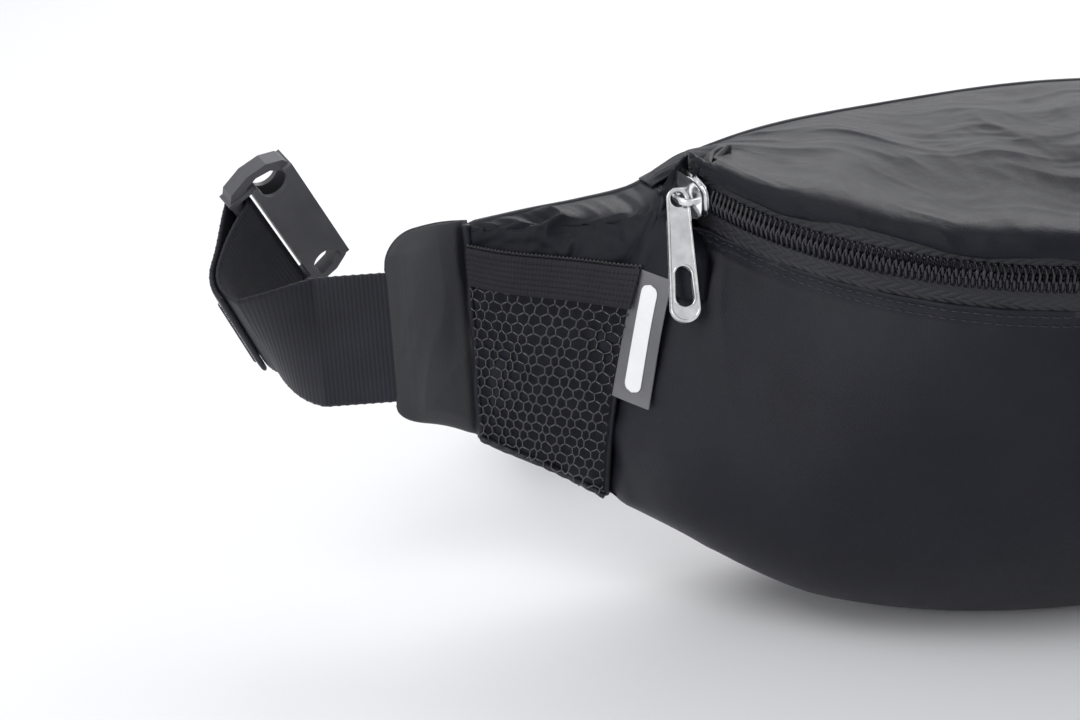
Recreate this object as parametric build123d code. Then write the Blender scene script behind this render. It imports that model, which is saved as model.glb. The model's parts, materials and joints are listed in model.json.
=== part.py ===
from build123d import *
from collections import namedtuple
import math
import os

# Waist bag. Millimetres. +X to the right as seen from the front, +Y towards the wearer, +Z up.
# The origin is the centre of the flat resting patch under the bag.

# ---------------------------------------------------------------- driving dimensions
WALL = 1.6                    # nylon shell with its lining and seam allowance
BACK_Y = 25.0                 # wearer's face of the back panel
BACK_THICK = 1.5
BACK_INNER_Y = BACK_Y - BACK_THICK
WING_SEAM_X = 158.5           # seam between the pocket and the wing
WING_END_X = 181.5            # where the webbing leaves the wing
WING_THICK = 4.2
WEB_WIDTH = 38.0
WEB_THICK = 1.6
WEB_Z = 76.0                  # height of the webbing's centreline at the wings

ZIP_HALF_CHORD = 97.4         # half the straight distance between the zip's ends
ZIP_SAG = 65.0                # how far the zip's middle stands in front of its ends
ZIP_TILT = 10.3               # degrees that the zip's plane drops towards the front
ZIP_END_Y = -6.9
ZIP_END_Z = 117.9
TAPE_THICK = 0.8
TAPE_UP = 8.0                 # visible width of the upper tape, from the middle of the coil
TAPE_DOWN = 11.0
COIL_WIDTH = 3.0              # one row of coil
COIL_HEIGHT = 2.0
COIL_SLIT = 1.1               # between the two rows, where the slider's post runs
SLIDER_LENGTH = 11.5
SLIDER_WIDTH = 9.4
ZIP_RUN_OUT = 4.2             # degrees that the zip runs past its ends, under the end tabs
SLIDER_ARC = -1.1             # degrees from the zip's end to the slider's middle, at rest
PLATE = 1.4                   # thickness of each slider plate
PLATE_CORNER = 2.6
BAIL_LENGTH = 9.0
BAIL_RISE = 4.2
BAIL_WIRE = 1.4
PULL_LENGTH = 33.0
PULL_TOP = 6.0
PULL_END = 8.2
PULL_THICK = 1.2
EYE_R = 2.0
HOLE_FROM = 20.0              # centres of the long hole's two round ends, from the hinge
HOLE_TO = 26.0
HOLE_R = 2.4
PULL_HANG = (-0.05, -0.46, -0.885)   # the way the pull hangs, resting on the bulge of the front
MOVE_GAP = 0.35               # clearance beside a moving piece

LABEL_WIDTH = 12.6
LABEL_LENGTH = 36.0
LABEL_THICK = 0.5
PATCH_FROM = 3.4              # from the side seam to the woven patch
PATCH_WIDTH = 5.8

BUCKLE_WIDTH = 42.0
BUCKLE_PITCH = -19.0          # degrees that the female half is turned about its bar at rest
BUCKLE_LENGTH = 19.0          # from the webbing bar's centre to the mouth
BUCKLE_THICK = 8.0
BUCKLE_WALL = 1.6
BAR_R = 2.0
LOOP_R = 3.6                  # centreline of the webbing round the bar
RAIL_X = 26.0                 # furthest reach of the side rails
RAIL_HEIGHT = 5.0
WEB_SIDE_GAP = 1.3            # between the webbing's edge and the buckle's arms
WINDOW_X = 16.0
WINDOW_R = 4.6
ARM_LENGTH = 24.0
ARM_WIDTH = 5.0
ROOT_BEVEL = 0.6
MALE_THICK = 4.4

# Radius and half angle of the zip's arc, and the frame of its plane.
ZIP_R = (ZIP_HALF_CHORD**2 + ZIP_SAG**2) / (2 * ZIP_SAG)
ZIP_END_ANGLE = math.degrees(math.asin(ZIP_HALF_CHORD / ZIP_R))
ZIP_HALF_ANGLE = ZIP_END_ANGLE + ZIP_RUN_OUT
TILT = math.radians(ZIP_TILT)
ZIP_NORMAL = Vector(0, -math.sin(TILT), math.cos(TILT))
ZIP_BACKWARD = Vector(0, math.cos(TILT), math.sin(TILT))
ZIP_CENTRE = Vector(0, ZIP_END_Y, ZIP_END_Z) + ZIP_BACKWARD * (ZIP_R - ZIP_SAG)
# In this frame local X is the bag's X, local Y points back along the zip's plane and Z is its normal.
ZIP_PLANE = Plane(origin=ZIP_CENTRE, x_dir=(1, 0, 0), z_dir=ZIP_NORMAL)

# One cross-section of the bag's body in a plane of constant X: y and z of each named point.
# zip or shoulder, top of the back, crown of the top, two points that pull the front outwards,
# front of the resting patch, back of the resting patch, and foot of the back panel.
Section = namedtuple("Section", "x shoulder top crown high low front rear foot")
SECTIONS = [
    Section(0.0, (-70.8, 106.2), 133.5, 13.0, (-75.0, 72.0), (-66.0, 4.0), (-27.0, 0.0), 8.0, 9.0),
    Section(45.0, (-62.3, 107.7), 131.0, 13.0, (-68.0, 76.0), (-62.0, 8.0), (-26.0, 2.2), 6.0, 10.0),
    Section(75.0, (-40.0, 111.8), 127.5, 13.0, (-53.0, 84.0), (-57.0, 16.0), (-23.0, 9.5), 8.0, 16.0),
    Section(97.4, (-6.9, 117.9), 121.5, 12.0, (-24.0, 98.0), (-50.0, 28.0), (-14.0, 19.5), 10.0, 24.0),
    Section(112.0, (0.0, 113.0), 114.5, 3.0, (-12.0, 98.0), (-34.0, 36.0), (-8.0, 27.0), 12.0, 30.0),
    Section(126.0, (8.0, 110.0), 112.0, 1.5, (2.0, 98.0), (-6.0, 42.0), (2.0, 33.0), 14.0, 35.0),
    Section(140.0, (15.0, 108.5), 110.5, 1.0, (12.0, 98.0), (7.0, 46.0), (12.0, 38.5), 18.0, 40.0),
    Section(158.5, (21.9, 107.0), 108.0, 0.3, (21.6, 95.0), (21.6, 56.0), (21.9, 45.0), 22.8, 45.5),
]
BODY_STEP = 13.0              # spacing of the body's cross-sections
INNER_END_X = 149.0           # the body's hollow stops short of the wing seams
SEAM_TOP = (101.5, 128.0)     # side seam of the front panel, as x and z: top, middle, bottom
SEAM_MIDDLE = (120.5, 78.0)
SEAM_FOOT = (126.5, 30.0)
REST_DROP = 1.4               # how far the soft bottom is pressed flat

# The left webbing, from the wing to the buckle: length, bend and twist of each stretch.
# A bend turns the strap about its width, and a twist turns it about its length.
LEFT_ROUTE = [(20.0, 0.0, 0.0), (18.0, -35.5, -39.0), (16.0, -76.0, -1.5), (18.7, -20.5, -5.5)]
LEFT_YAW = 4.5                # degrees that it leaves the wing towards the back
LEFT_TAIL = 30.0              # sewn-back end past the bar
TAIL_GAP = 2.0                # centre to centre where the tail is sewn down
TAIL_CLOSES = 0.6             # share of the tail's length in which it closes up to the strap
TACK_LENGTH = 30.0
TACK_WIDTH = 2.4
# The right webbing comes down to the surface in a wide bend behind the bag.
DROP = 6.8                    # degrees of fall along its length
SCREW = -math.tan(math.radians(DROP))
RIGHT_ROUTE = [(20.0, 0.0, 0.0), (150.0, 180.0, 180.0 * SCREW), (270.0, 0.0, 0.0)]
LEVEL_ROUTE = [(30.0, 0.0, 0.0), (76.0, -180.0, 0.0), (118.0, 0.0, 0.0)]
LEVEL_GAP = 14.0              # in which the strap turns level
RIGHT_TAIL = 104.0
TAIL_START = 22.0             # from the bar to where the tail lies on the strap
FLOOR_GAP = 0.15              # under the male half, which the strap's end rests on
KEEPER_FROM_BUCKLE = 34.0
KEEPER_LENGTH = 10.0
KEEPER_WALL = 1.4

PARTS = {}


# ---------------------------------------------------------------- small helpers
def add(name, shape):
    """Keep a sub-part under its node's name."""
    PARTS[name] = shape


def largest(shape):
    """The biggest solid of a boolean result."""
    return max(shape.solids(), key=lambda s: s.volume)


def mirrored(shape):
    """The same piece on the other side of the bag."""
    return shape.mirror(Plane.YZ)


def block(plane, x0, x1, y0, y1, z0, z1):
    """A box between two corners in a plane's own frame."""
    box = Box(x1 - x0, y1 - y0, z1 - z0)
    return plane * Pos((x0 + x1) / 2, (y0 + y1) / 2, (z0 + z1) / 2) * box


# ---------------------------------------------------------------- the bag's body
def section_at(x):
    """The cross-section at any x, on a smooth curve through the list."""
    x = min(abs(x), SECTIONS[-1].x)
    k = max(i for i, s in enumerate(SECTIONS[:-1]) if s.x <= x)
    a, b = SECTIONS[k], SECTIONS[k + 1]
    before = SECTIONS[k - 1] if k else SECTIONS[1]._replace(x=-SECTIONS[1].x)
    after = SECTIONS[k + 2] if k + 2 < len(SECTIONS) else b._replace(x=2 * b.x - a.x)
    span = b.x - a.x
    t = (x - a.x) / span

    def mix(p, q, p_before, q_after):
        if isinstance(p, tuple):
            return tuple(mix(*four) for four in zip(p, q, p_before, q_after))
        slope_a = (q - p_before) / (b.x - before.x) * span
        slope_b = (q_after - p) / (after.x - a.x) * span
        rise = q - p
        return p + t * (slope_a + t * (3 * rise - 2 * slope_a - slope_b + t * (slope_a + slope_b - 2 * rise)))

    return Section(x, *[mix(*four) for four in zip(a[1:], b[1:], before[1:], after[1:])])


def zip_point(x):
    """The zip's line at x, exactly on its arc, as y and z."""
    back = ZIP_R - math.sqrt(ZIP_R**2 - x**2) - ZIP_SAG
    return ZIP_END_Y + back * math.cos(TILT), ZIP_END_Z + back * math.sin(TILT)


def section_wire(x, inset, back_y):
    """The outline of the body at x, moved inwards by inset, closed by the back plane."""
    s = section_at(x)
    if abs(x) <= ZIP_HALF_CHORD:
        y, z = zip_point(x)
        s = s._replace(shoulder=(y, z + REST_DROP))

    def at(y, z):
        return Vector(x, y, z - REST_DROP)

    depth = back_y - s.shoulder[0]
    top = at(back_y, s.top - inset)
    shoulder = at(s.shoulder[0] + inset, s.shoulder[1] - inset * 0.4)
    high = at(s.high[0] + inset, s.high[1])
    low = at(s.low[0] + inset, s.low[1] + inset)
    front = at(s.front[0] + inset * 0.3, s.front[1] + inset)
    rear = at(s.rear, s.front[1] + inset)
    foot = at(back_y, s.foot + inset)
    crown_back = at(back_y - depth * 0.4, s.top + s.crown * 0.15 - inset)
    crown_front = at(s.shoulder[0] + depth * 0.05 + inset, s.shoulder[1] + s.crown - inset)
    sole_end = at(s.rear + (back_y - s.rear) * 0.6, s.front[1] + inset)
    heel = at(back_y, s.front[1] + (s.foot - s.front[1]) * 0.4 + inset)
    return Wire([
        Edge.make_line(foot, top),
        Edge.make_bezier(top, crown_back, crown_front, shoulder),
        Edge.make_bezier(shoulder, high, low, front),
        Edge.make_line(front, rear),
        Edge.make_bezier(rear, sole_end, heel, foot),
    ])


def body_loft(inset, end_x, back_y):
    """The whole body as one solid, from one end to the other."""
    count = round(2 * end_x / BODY_STEP)
    stations = [end_x * (2 * i / count - 1) for i in range(count + 1)]
    return Solid.make_loft([section_wire(x, inset, back_y) for x in stations], ruled=True)


def seam_region(side):
    """Everything outside the side seam, on the left (-1) or the right (+1)."""
    top = (side * SEAM_TOP[0], SEAM_TOP[1])
    middle = (side * SEAM_MIDDLE[0], SEAM_MIDDLE[1])
    foot = (side * SEAM_FOOT[0], SEAM_FOOT[1])
    high = (top[0], 160.0)
    deep = (foot[0], -20.0)
    outer_low = (side * 200.0, -20.0)
    outer_high = (side * 200.0, 160.0)
    points = [Vector(p[0], 0, p[1]) for p in (top, middle, foot, deep, outer_low, outer_high, high)]
    wire = Wire([
        Edge.make_three_point_arc(points[0], points[1], points[2]),
        Edge.make_line(points[2], points[3]),
        Edge.make_line(points[3], points[4]),
        Edge.make_line(points[4], points[5]),
        Edge.make_line(points[5], points[6]),
        Edge.make_line(points[6], points[0]),
    ])
    face = Face(wire)
    return Solid.extrude(face, Vector(0, 200, 0)).moved(Location((0, -100, 0)))


def make_body():
    floor = block(Plane.XY, -250, 250, -150, 150, -50, 0)
    outer = body_loft(0.0, WING_SEAM_X, BACK_INNER_Y)
    hollow = body_loft(WALL, INNER_END_X, BACK_INNER_Y + 1.0)
    pressed = block(Plane.XY, -40, 40, -40, 12, -5, WALL)
    shell = outer - hollow - floor
    sole = (outer - floor) & pressed
    shell = largest(shell + sole)

    left = seam_region(-1)
    right = seam_region(1)
    core = shell - left - right
    above = block(ZIP_PLANE, -200, 200, -200, 120, TAPE_UP, 100)
    corner_y = ZIP_END_Y + 11.0
    above = above + block(Plane.XY, -200, 200, corner_y, 120, ZIP_END_Z - 1, 250)
    clear_w = SLIDER_WIDTH / 2 + MOVE_GAP
    behind_tape = ZIP_PLANE * Pos(0, 0, (clear_w + TAPE_UP) / 2) * Cylinder(ZIP_R - 0.7, TAPE_UP - clear_w)
    above = above + (behind_tape - block(Plane.XY, -200, 200, corner_y, 200, 0, 250))
    below = block(ZIP_PLANE, -200, 200, -200, 120, -200, -TAPE_DOWN)
    band = block(ZIP_PLANE, -200, 200, -200, 120, -TAPE_DOWN, TAPE_UP) - above
    beyond_left = block(Plane.XY, -200, -ZIP_HALF_CHORD - MOVE_GAP, -200, 200, -50, 200)
    chain = arc_band(ZIP_R - 3.4, ZIP_R + 4.6, -SLIDER_WIDTH / 2 - MOVE_GAP, SLIDER_WIDTH / 2 + MOVE_GAP, 90)
    tapes = arc_band(ZIP_R - 0.7, ZIP_R + 0.7, -TAPE_DOWN, TAPE_UP, 90)
    add("top_panel", largest(core & above))
    add("front_panel", largest(core & below))
    add("zip_end_tab_left", largest((core & band & beyond_left) - chain - tapes))
    add("zip_end_tab_right", mirrored(PARTS["zip_end_tab_left"]))
    add("side_panel_left", largest(shell & left))
    add("side_panel_right", mirrored(PARTS["side_panel_left"]))


def make_back_panel():
    """A flat padded panel, as tall as the body, from wing seam to wing seam."""
    stations = [s.x for s in SECTIONS]
    xs = [-x for x in reversed(stations[1:])] + stations
    tops = [Vector(x, BACK_Y, section_at(x).top - REST_DROP) for x in xs]
    feet = [Vector(x, BACK_Y, section_at(x).foot - REST_DROP) for x in xs]
    outline = Wire([
        Edge.make_spline(tops),
        Edge.make_line(tops[-1], feet[-1]),
        Edge.make_spline(list(reversed(feet))),
        Edge.make_line(feet[0], tops[0]),
    ])
    add("back_panel", Solid.extrude(Face(outline), Vector(0, -BACK_THICK, 0)))


def make_wings():
    """A folded fabric tab at each end, which the webbing is sewn into."""
    corners = [(158.7, 43.8), (158.7, 106.6), (170.0, 106.8), (178.5, 105.0), (181.0, 97.5),
               (181.5, 53.4), (174.0, 50.0)]
    sketch = Polyline(*[(-x, z) for x, z in corners], close=True)
    face = Face(Wire(sketch.edges()))
    wing = Solid.extrude(face, Vector(0, 0, WING_THICK))
    wing = Plane(origin=(0, BACK_Y + WING_THICK / 2, 0), x_dir=(1, 0, 0), z_dir=(0, -1, 0)) * wing
    add("wing_left", wing)
    add("wing_right", mirrored(wing))


def make_pockets():
    """A mesh skin with an elastic top hem over each side panel."""
    skin_outer = body_loft(-1.5, WING_SEAM_X, BACK_INNER_Y)
    skin_inner = body_loft(-0.5, WING_SEAM_X, BACK_INNER_Y)
    hem_outer = body_loft(-2.2, WING_SEAM_X, BACK_INNER_Y)
    side = seam_region(-1)
    front_half = block(Plane.XY, -WING_SEAM_X + 0.4, 0, -90, 21.0, 0, 140)
    # The hem falls a little from the wing seam to the side seam.
    hem_plane = Plane(origin=(-WING_SEAM_X, 0, 99.5), x_dir=(1, 0, -0.02), z_dir=(0.02, 0, 1))
    hem_zone = block(hem_plane, -5, 70, -100, 100, -9.5, 0)
    mesh_zone = block(hem_plane, -5, 70, -100, 100, -80, -9.8)
    skin = (skin_outer - skin_inner) & side & front_half & mesh_zone
    hem = (hem_outer - skin_inner) & side & front_half & hem_zone
    add("mesh_pocket_left", largest(skin))
    add("mesh_pocket_right", mirrored(PARTS["mesh_pocket_left"]))
    add("pocket_elastic_left", largest(hem))
    add("pocket_elastic_right", mirrored(PARTS["pocket_elastic_left"]))


def make_label():
    """A small woven label with a plain woven patch, caught in the left side seam."""
    top_left = Vector(-117.6, -6.2, 99.8)
    down = Vector(-8.0, -1.0, -35.0).normalized()
    across = Vector(10.1, -8.6, 0.0)
    across = (across - down * across.dot(down)).normalized()
    plane = Plane(origin=top_left, x_dir=across, z_dir=down.cross(across))
    add("label", block(plane, 0, LABEL_WIDTH, -LABEL_LENGTH, 0, 0, LABEL_THICK))
    patch_end = PATCH_FROM + PATCH_WIDTH
    patch_top = LABEL_THICK + 0.2
    add("label_patch", block(plane, PATCH_FROM, patch_end, 3.0 - LABEL_LENGTH, -3.0, LABEL_THICK, patch_top))


# ---------------------------------------------------------------- the zip
def arc_band(r0, r1, w0, w1, half_angle):
    """A piece of a ring about the zip's centre, facing forward, in the bag's frame."""
    ring = Cylinder(r1, w1 - w0) - Cylinder(r0, w1 - w0 + 1)
    a = math.radians(half_angle)
    far = 200.0
    wedge = Polyline((0, 0), (far * math.sin(a), -far * math.cos(a)), (far, -far), (-far, -far),
                     (-far * math.sin(a), -far * math.cos(a)), close=True)
    cut = Solid.extrude(Face(Wire(wedge.edges())), Vector(0, 0, 400)).moved(Location((0, 0, -200)))
    return ZIP_PLANE * Pos(0, 0, (w0 + w1) / 2) * largest(ring & cut)


def slider_plane():
    """Frame at the slider: local X along the zip to the right, Y inwards, Z the zip's normal."""
    turn = ZIP_END_ANGLE - SLIDER_ARC
    return Plane(ZIP_PLANE.location * Rot(0, 0, -turn) * Pos(0, -ZIP_R, 0))


def make_zip():
    outside = TAPE_THICK / 2
    near = COIL_SLIT / 2
    inner = ZIP_R - outside
    r0 = ZIP_R + outside
    add("zip_tape_upper", arc_band(inner, r0, near, TAPE_UP - 0.2, ZIP_HALF_ANGLE))
    add("zip_tape_lower", arc_band(inner, r0, 0.2 - TAPE_DOWN, -near, ZIP_HALF_ANGLE))
    add("zip_coil_upper", arc_band(r0, r0 + COIL_HEIGHT, near, near + COIL_WIDTH, ZIP_HALF_ANGLE))
    add("zip_coil_lower", arc_band(r0, r0 + COIL_HEIGHT, -near - COIL_WIDTH, -near, ZIP_HALF_ANGLE))

    place = slider_plane()
    half = SLIDER_LENGTH / 2
    wide = SLIDER_WIDTH / 2
    over = TAPE_THICK / 2 + COIL_HEIGHT + MOVE_GAP + 0.3
    under = TAPE_THICK / 2 + MOVE_GAP + 0.3
    front_plate = block(Plane.XY, -half, half, -over - PLATE, -over, -wide, wide)
    front_plate = front_plate.fillet(PLATE_CORNER, front_plate.edges().filter_by(Axis.Y))
    back_plate = block(Plane.XY, -half, half, under, under + PLATE, -wide, wide)
    back_plate = back_plate.fillet(PLATE_CORNER, back_plate.edges().filter_by(Axis.Y))
    post = block(Plane.XY, -1.5, 1.5, -over - 0.1, under + 0.1, -0.2, 0.2)
    lip = COIL_SLIT / 2 + COIL_WIDTH + MOVE_GAP + 0.1
    lip_end = half - PLATE_CORNER
    lip_y = -TAPE_THICK / 2 - MOVE_GAP - 0.4
    lip_up = block(Plane.XY, -lip_end, lip_end, -over - 0.1, lip_y, lip, wide)
    lip_down = block(Plane.XY, -lip_end, lip_end, -over - 0.1, lip_y, -wide, -lip)
    body = front_plate + post + back_plate + lip_up + lip_down
    add("zip_slider", place * largest(body))

    top = -over - PLATE
    feet = BAIL_LENGTH / 2
    peak = top - BAIL_RISE
    under_peak = peak + BAIL_WIRE
    path_out = Polyline((-feet, top), (-feet + 0.9, peak), (feet - 0.9, peak), (feet, top),
                        (feet - BAIL_WIRE, top), (feet - BAIL_WIRE - 0.5, under_peak),
                        (-feet + BAIL_WIRE + 0.5, under_peak), (-feet + BAIL_WIRE, top), close=True)
    arch = Solid.extrude(Face(Wire(path_out.edges())), Vector(0, 0, 2.0)).moved(Location((0, 0, -1.0)))
    add("zip_bail", place * arch)
    make_pull(place, top - BAIL_RISE + BAIL_WIRE / 2)


def make_pull(place, bail_y):
    """The pull: a flat tapered plate with an eye for the bail and a long hole near its end."""
    hinge = place.from_local_coords(Vector(0, bail_y, 0))
    along = place.x_dir
    down = Vector(*PULL_HANG).normalized()
    face = down.cross(Vector(1.0, 0.12, 0.0)).normalized()
    plane = Plane(origin=hinge, x_dir=down, z_dir=face)
    eye = PULL_TOP / 2
    end_x = PULL_LENGTH - PULL_END / 2
    wide = PULL_END / 2
    outline = Polyline((0, eye), (end_x, wide), (end_x, -wide), (0, -eye), close=True)
    plate = Solid.extrude(Face(Wire(outline.edges())), Vector(0, 0, PULL_THICK))
    plate = plate + Pos(0, 0, PULL_THICK / 2) * Cylinder(eye, PULL_THICK)
    plate = plate + Pos(end_x, 0, PULL_THICK / 2) * Cylinder(wide, PULL_THICK)
    plate = plate - Pos(0.1, 0, PULL_THICK / 2) * Cylinder(EYE_R, PULL_THICK + 1)
    hole = block(Plane.XY, HOLE_FROM, HOLE_TO, -HOLE_R, HOLE_R, -1, 3)
    hole = hole + Pos(HOLE_FROM, 0, 1) * Cylinder(HOLE_R, 4) + Pos(HOLE_TO, 0, 1) * Cylinder(HOLE_R, 4)
    plate = plate - hole
    add("zip_pull", plane * Pos(0, 0, -PULL_THICK / 2) * largest(plate))
    print("pull hinge", hinge, "axis", along)


# ---------------------------------------------------------------- webbing
Station = namedtuple("Station", "point along across")


def turned(v, axis, degrees):
    return v.rotate(Axis((0, 0, 0), axis), degrees) if abs(degrees) > 1e-9 else v


def route(start, stretches, step=6.0):
    """Stations along a flat strap. Each stretch bends about its width and twists about its length."""
    stations = [start]
    for length, bend, twist in stretches:
        count = max(2, round(length / step)) if (bend or twist) else 2
        for _ in range(count):
            s = stations[-1]
            spin = s.across * (bend / count) + s.along * (twist / count)
            total = spin.length
            ahead = turned(s.along, spin, total / 2)
            point = s.point + ahead * (length / count)
            stations.append(Station(point, turned(s.along, spin, total), turned(s.across, spin, total)))
    return stations


def strap(stations, width=WEB_WIDTH, thick=WEB_THICK):
    """A flat strap through its stations."""
    wires = []
    for s in stations:
        across = s.across.normalized()
        face = s.along.cross(across).normalized()
        a = across * (width / 2)
        b = face * (thick / 2)
        corners = [s.point + a + b, s.point + a - b, s.point - a - b, s.point - a + b]
        wires.append(Wire.make_polygon(corners, close=True))
    return Solid.make_loft(wires, ruled=True)


def round_bar(end, side, steps=7):
    """Stations that carry a strap round a bar and back beside itself. side is +1 or -1 along its face."""
    face = end.along.cross(end.across).normalized() * side
    bar = end.point + face * LOOP_R
    stations = []
    for i in range(1, steps + 1):
        a = math.pi * i / steps
        point = bar + face * (-LOOP_R * math.cos(a)) + end.along * (LOOP_R * math.sin(a))
        along = end.along * math.cos(a) + face * math.sin(a)
        stations.append(Station(point, along, end.across))
    return bar, face, stations


def back_along(stations, face_side, length, spread, gap):
    """The sewn-back tail: it follows the strap on its outer side and closes up to it."""
    out = []
    travelled = 0.0
    for s, before in zip(reversed(stations[:-1]), reversed(stations)):
        travelled += (before.point - s.point).length
        t = min(1.0, travelled / (length * TAIL_CLOSES))
        face = s.along.cross(s.across).normalized() * face_side
        offset = spread + (gap - spread) * math.sin(t * math.pi / 2)
        out.append(Station(s.point + face * offset, s.along * -1, s.across))
        if travelled >= length:
            break
    return out


def buckle_frame(bar, along, across):
    """Local X along the bar, Y from the bar to the mouth, Z the buckle's face."""
    return Plane(origin=bar, x_dir=across, z_dir=across.cross(along))


def tack_block(plane):
    """The raised stitching across the end of a sewn-back tail."""
    half = TACK_LENGTH / 2
    return block(plane, -half, half, -TACK_WIDTH / 2, TACK_WIDTH / 2, WEB_THICK / 2, WEB_THICK / 2 + 0.6)


def make_left_side():
    yaw = math.radians(LEFT_YAW)
    out_of_wing = Vector(-math.cos(yaw), math.sin(yaw), 0)
    start = Station(Vector(-WING_END_X - 0.1, BACK_Y, WEB_Z), out_of_wing, Vector(0, 0, 1))
    run = route(start, LEFT_ROUTE)
    bar, face, loop = round_bar(run[-1], -1)
    tail = back_along(run, -1, LEFT_TAIL, 2 * LOOP_R, TAIL_GAP)
    add("webbing_left", strap(run + loop + tail))
    tack_at = tail[-1]
    tack_plane = Plane(origin=tack_at.point, x_dir=tack_at.across, z_dir=face)
    add("webbing_left_tack", tack_block(tack_plane))
    end = run[-1]
    pitch = turned(end.along, end.across, BUCKLE_PITCH)
    make_female(buckle_frame(bar + end.across * 0.5, pitch, end.across))
    print("left strap length", sum(s[0] for s in LEFT_ROUTE), "bar", bar, "axis", end.across)


def make_female(place):
    """Female half: a flat housing with an open mouth, a window and an outer rail at each end."""
    half = BUCKLE_WIDTH / 2
    t = BUCKLE_THICK / 2
    slot_end = LOOP_R + WEB_THICK / 2 + 0.9
    body = block(Plane.XY, -half, half, slot_end, BUCKLE_LENGTH, -t, t)
    cavity = t - BUCKLE_WALL
    body = body - block(Plane.XY, 3.0 - half, half - 3.0, slot_end + 2.4, BUCKLE_LENGTH + 1, -cavity, cavity)
    bar = Rot(0, 90, 0) * Cylinder(BAR_R, 2 * half - 0.5)
    shape = body + bar
    for side in (-1, 1):
        window = Pos(side * (WINDOW_X + 3.4), 11.6, 0) * Cylinder(WINDOW_R, 2 * t + 1)
        shape = shape - window
        inner = side * (WEB_WIDTH / 2 + WEB_SIDE_GAP)
        outer = side * (half + 0.6)
        low, high = sorted((inner, outer))
        arm = block(Plane.XY, low, high, -BAR_R - 0.4, slot_end + 1.2, 1.0 - t, t - 1.0)
        # The rail bows out past the window, from the arm to the corner of the mouth.
        path = [(half - 0.6, -BAR_R - 0.4), (RAIL_X - 2.0, 0.0), (RAIL_X, 6.5), (RAIL_X - 0.5, 13.0),
                (RAIL_X - 3.0, BUCKLE_LENGTH - 1.4), (half - 1.0, BUCKLE_LENGTH),
                (half - 2.0, BUCKLE_LENGTH - 2.4),
                (RAIL_X - 3.4, 13.0), (RAIL_X - 2.4, 8.5), (RAIL_X - 3.4, 4.8), (half - 0.6, 3.4)]
        rail_line = Polyline(*[(side * x, y) for x, y in path], close=True)
        rail = Solid.extrude(Face(Wire(rail_line.edges())), Vector(0, 0, RAIL_HEIGHT))
        shape = shape + arm + rail.moved(Location((0, 0, -RAIL_HEIGHT / 2)))
    add("buckle_female", place * largest(shape))


def make_male(place):
    """Male half: a ladder-lock frame and a guide tongue, with two springy arms."""
    half = BUCKLE_WIDTH / 2 + 1.0
    t = MALE_THICK / 2
    slot_end = LOOP_R + WEB_THICK / 2 + 0.9
    frame = block(Plane.XY, -half, half, -BAR_R, slot_end + 6.5, -t, t)
    frame = frame - block(Plane.XY, 0.7 - half + 2.0, half - 2.7, -BAR_R - 1, slot_end, -t - 1, t + 1)
    bar = Rot(0, 90, 0) * Cylinder(BAR_R, 2 * half - 1.0)
    tongue_end = slot_end + ARM_LENGTH
    tongue = block(Plane.XY, -2.6, 2.6, slot_end + 6, tongue_end, -1.6, 1.6)
    add("buckle_male", place * largest(frame + bar + tongue))
    root_y = slot_end + 6.5
    for name, side in (("buckle_male_arm_upper", 1), ("buckle_male_arm_lower", -1)):
        inner = side * 8.6
        # The root is bevelled on both sides of its hinge line, so that the arm can flex.
        path = [(0.0, ROOT_BEVEL), (1.2, 0.1), (2.8, 0.1), (ARM_WIDTH, ROOT_BEVEL), (ARM_WIDTH, 9.0),
                (ARM_WIDTH + 4.6, 12.0), (ARM_WIDTH + 2.2, 19.0), (1.0, 19.0), (2.2, 8.0)]
        arm_line = Polyline(*[(inner + side * x, root_y + y) for x, y in path], close=True)
        arm = Solid.extrude(Face(Wire(arm_line.edges())), Vector(0, 0, 3.2)).moved(Location((0, 0, -1.6)))
        add(name, place * arm)
        root = place.from_local_coords(Vector(inner + side * 2.0, root_y, 0))
        print(name, "root", root, "axis", place.z_dir)


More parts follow.
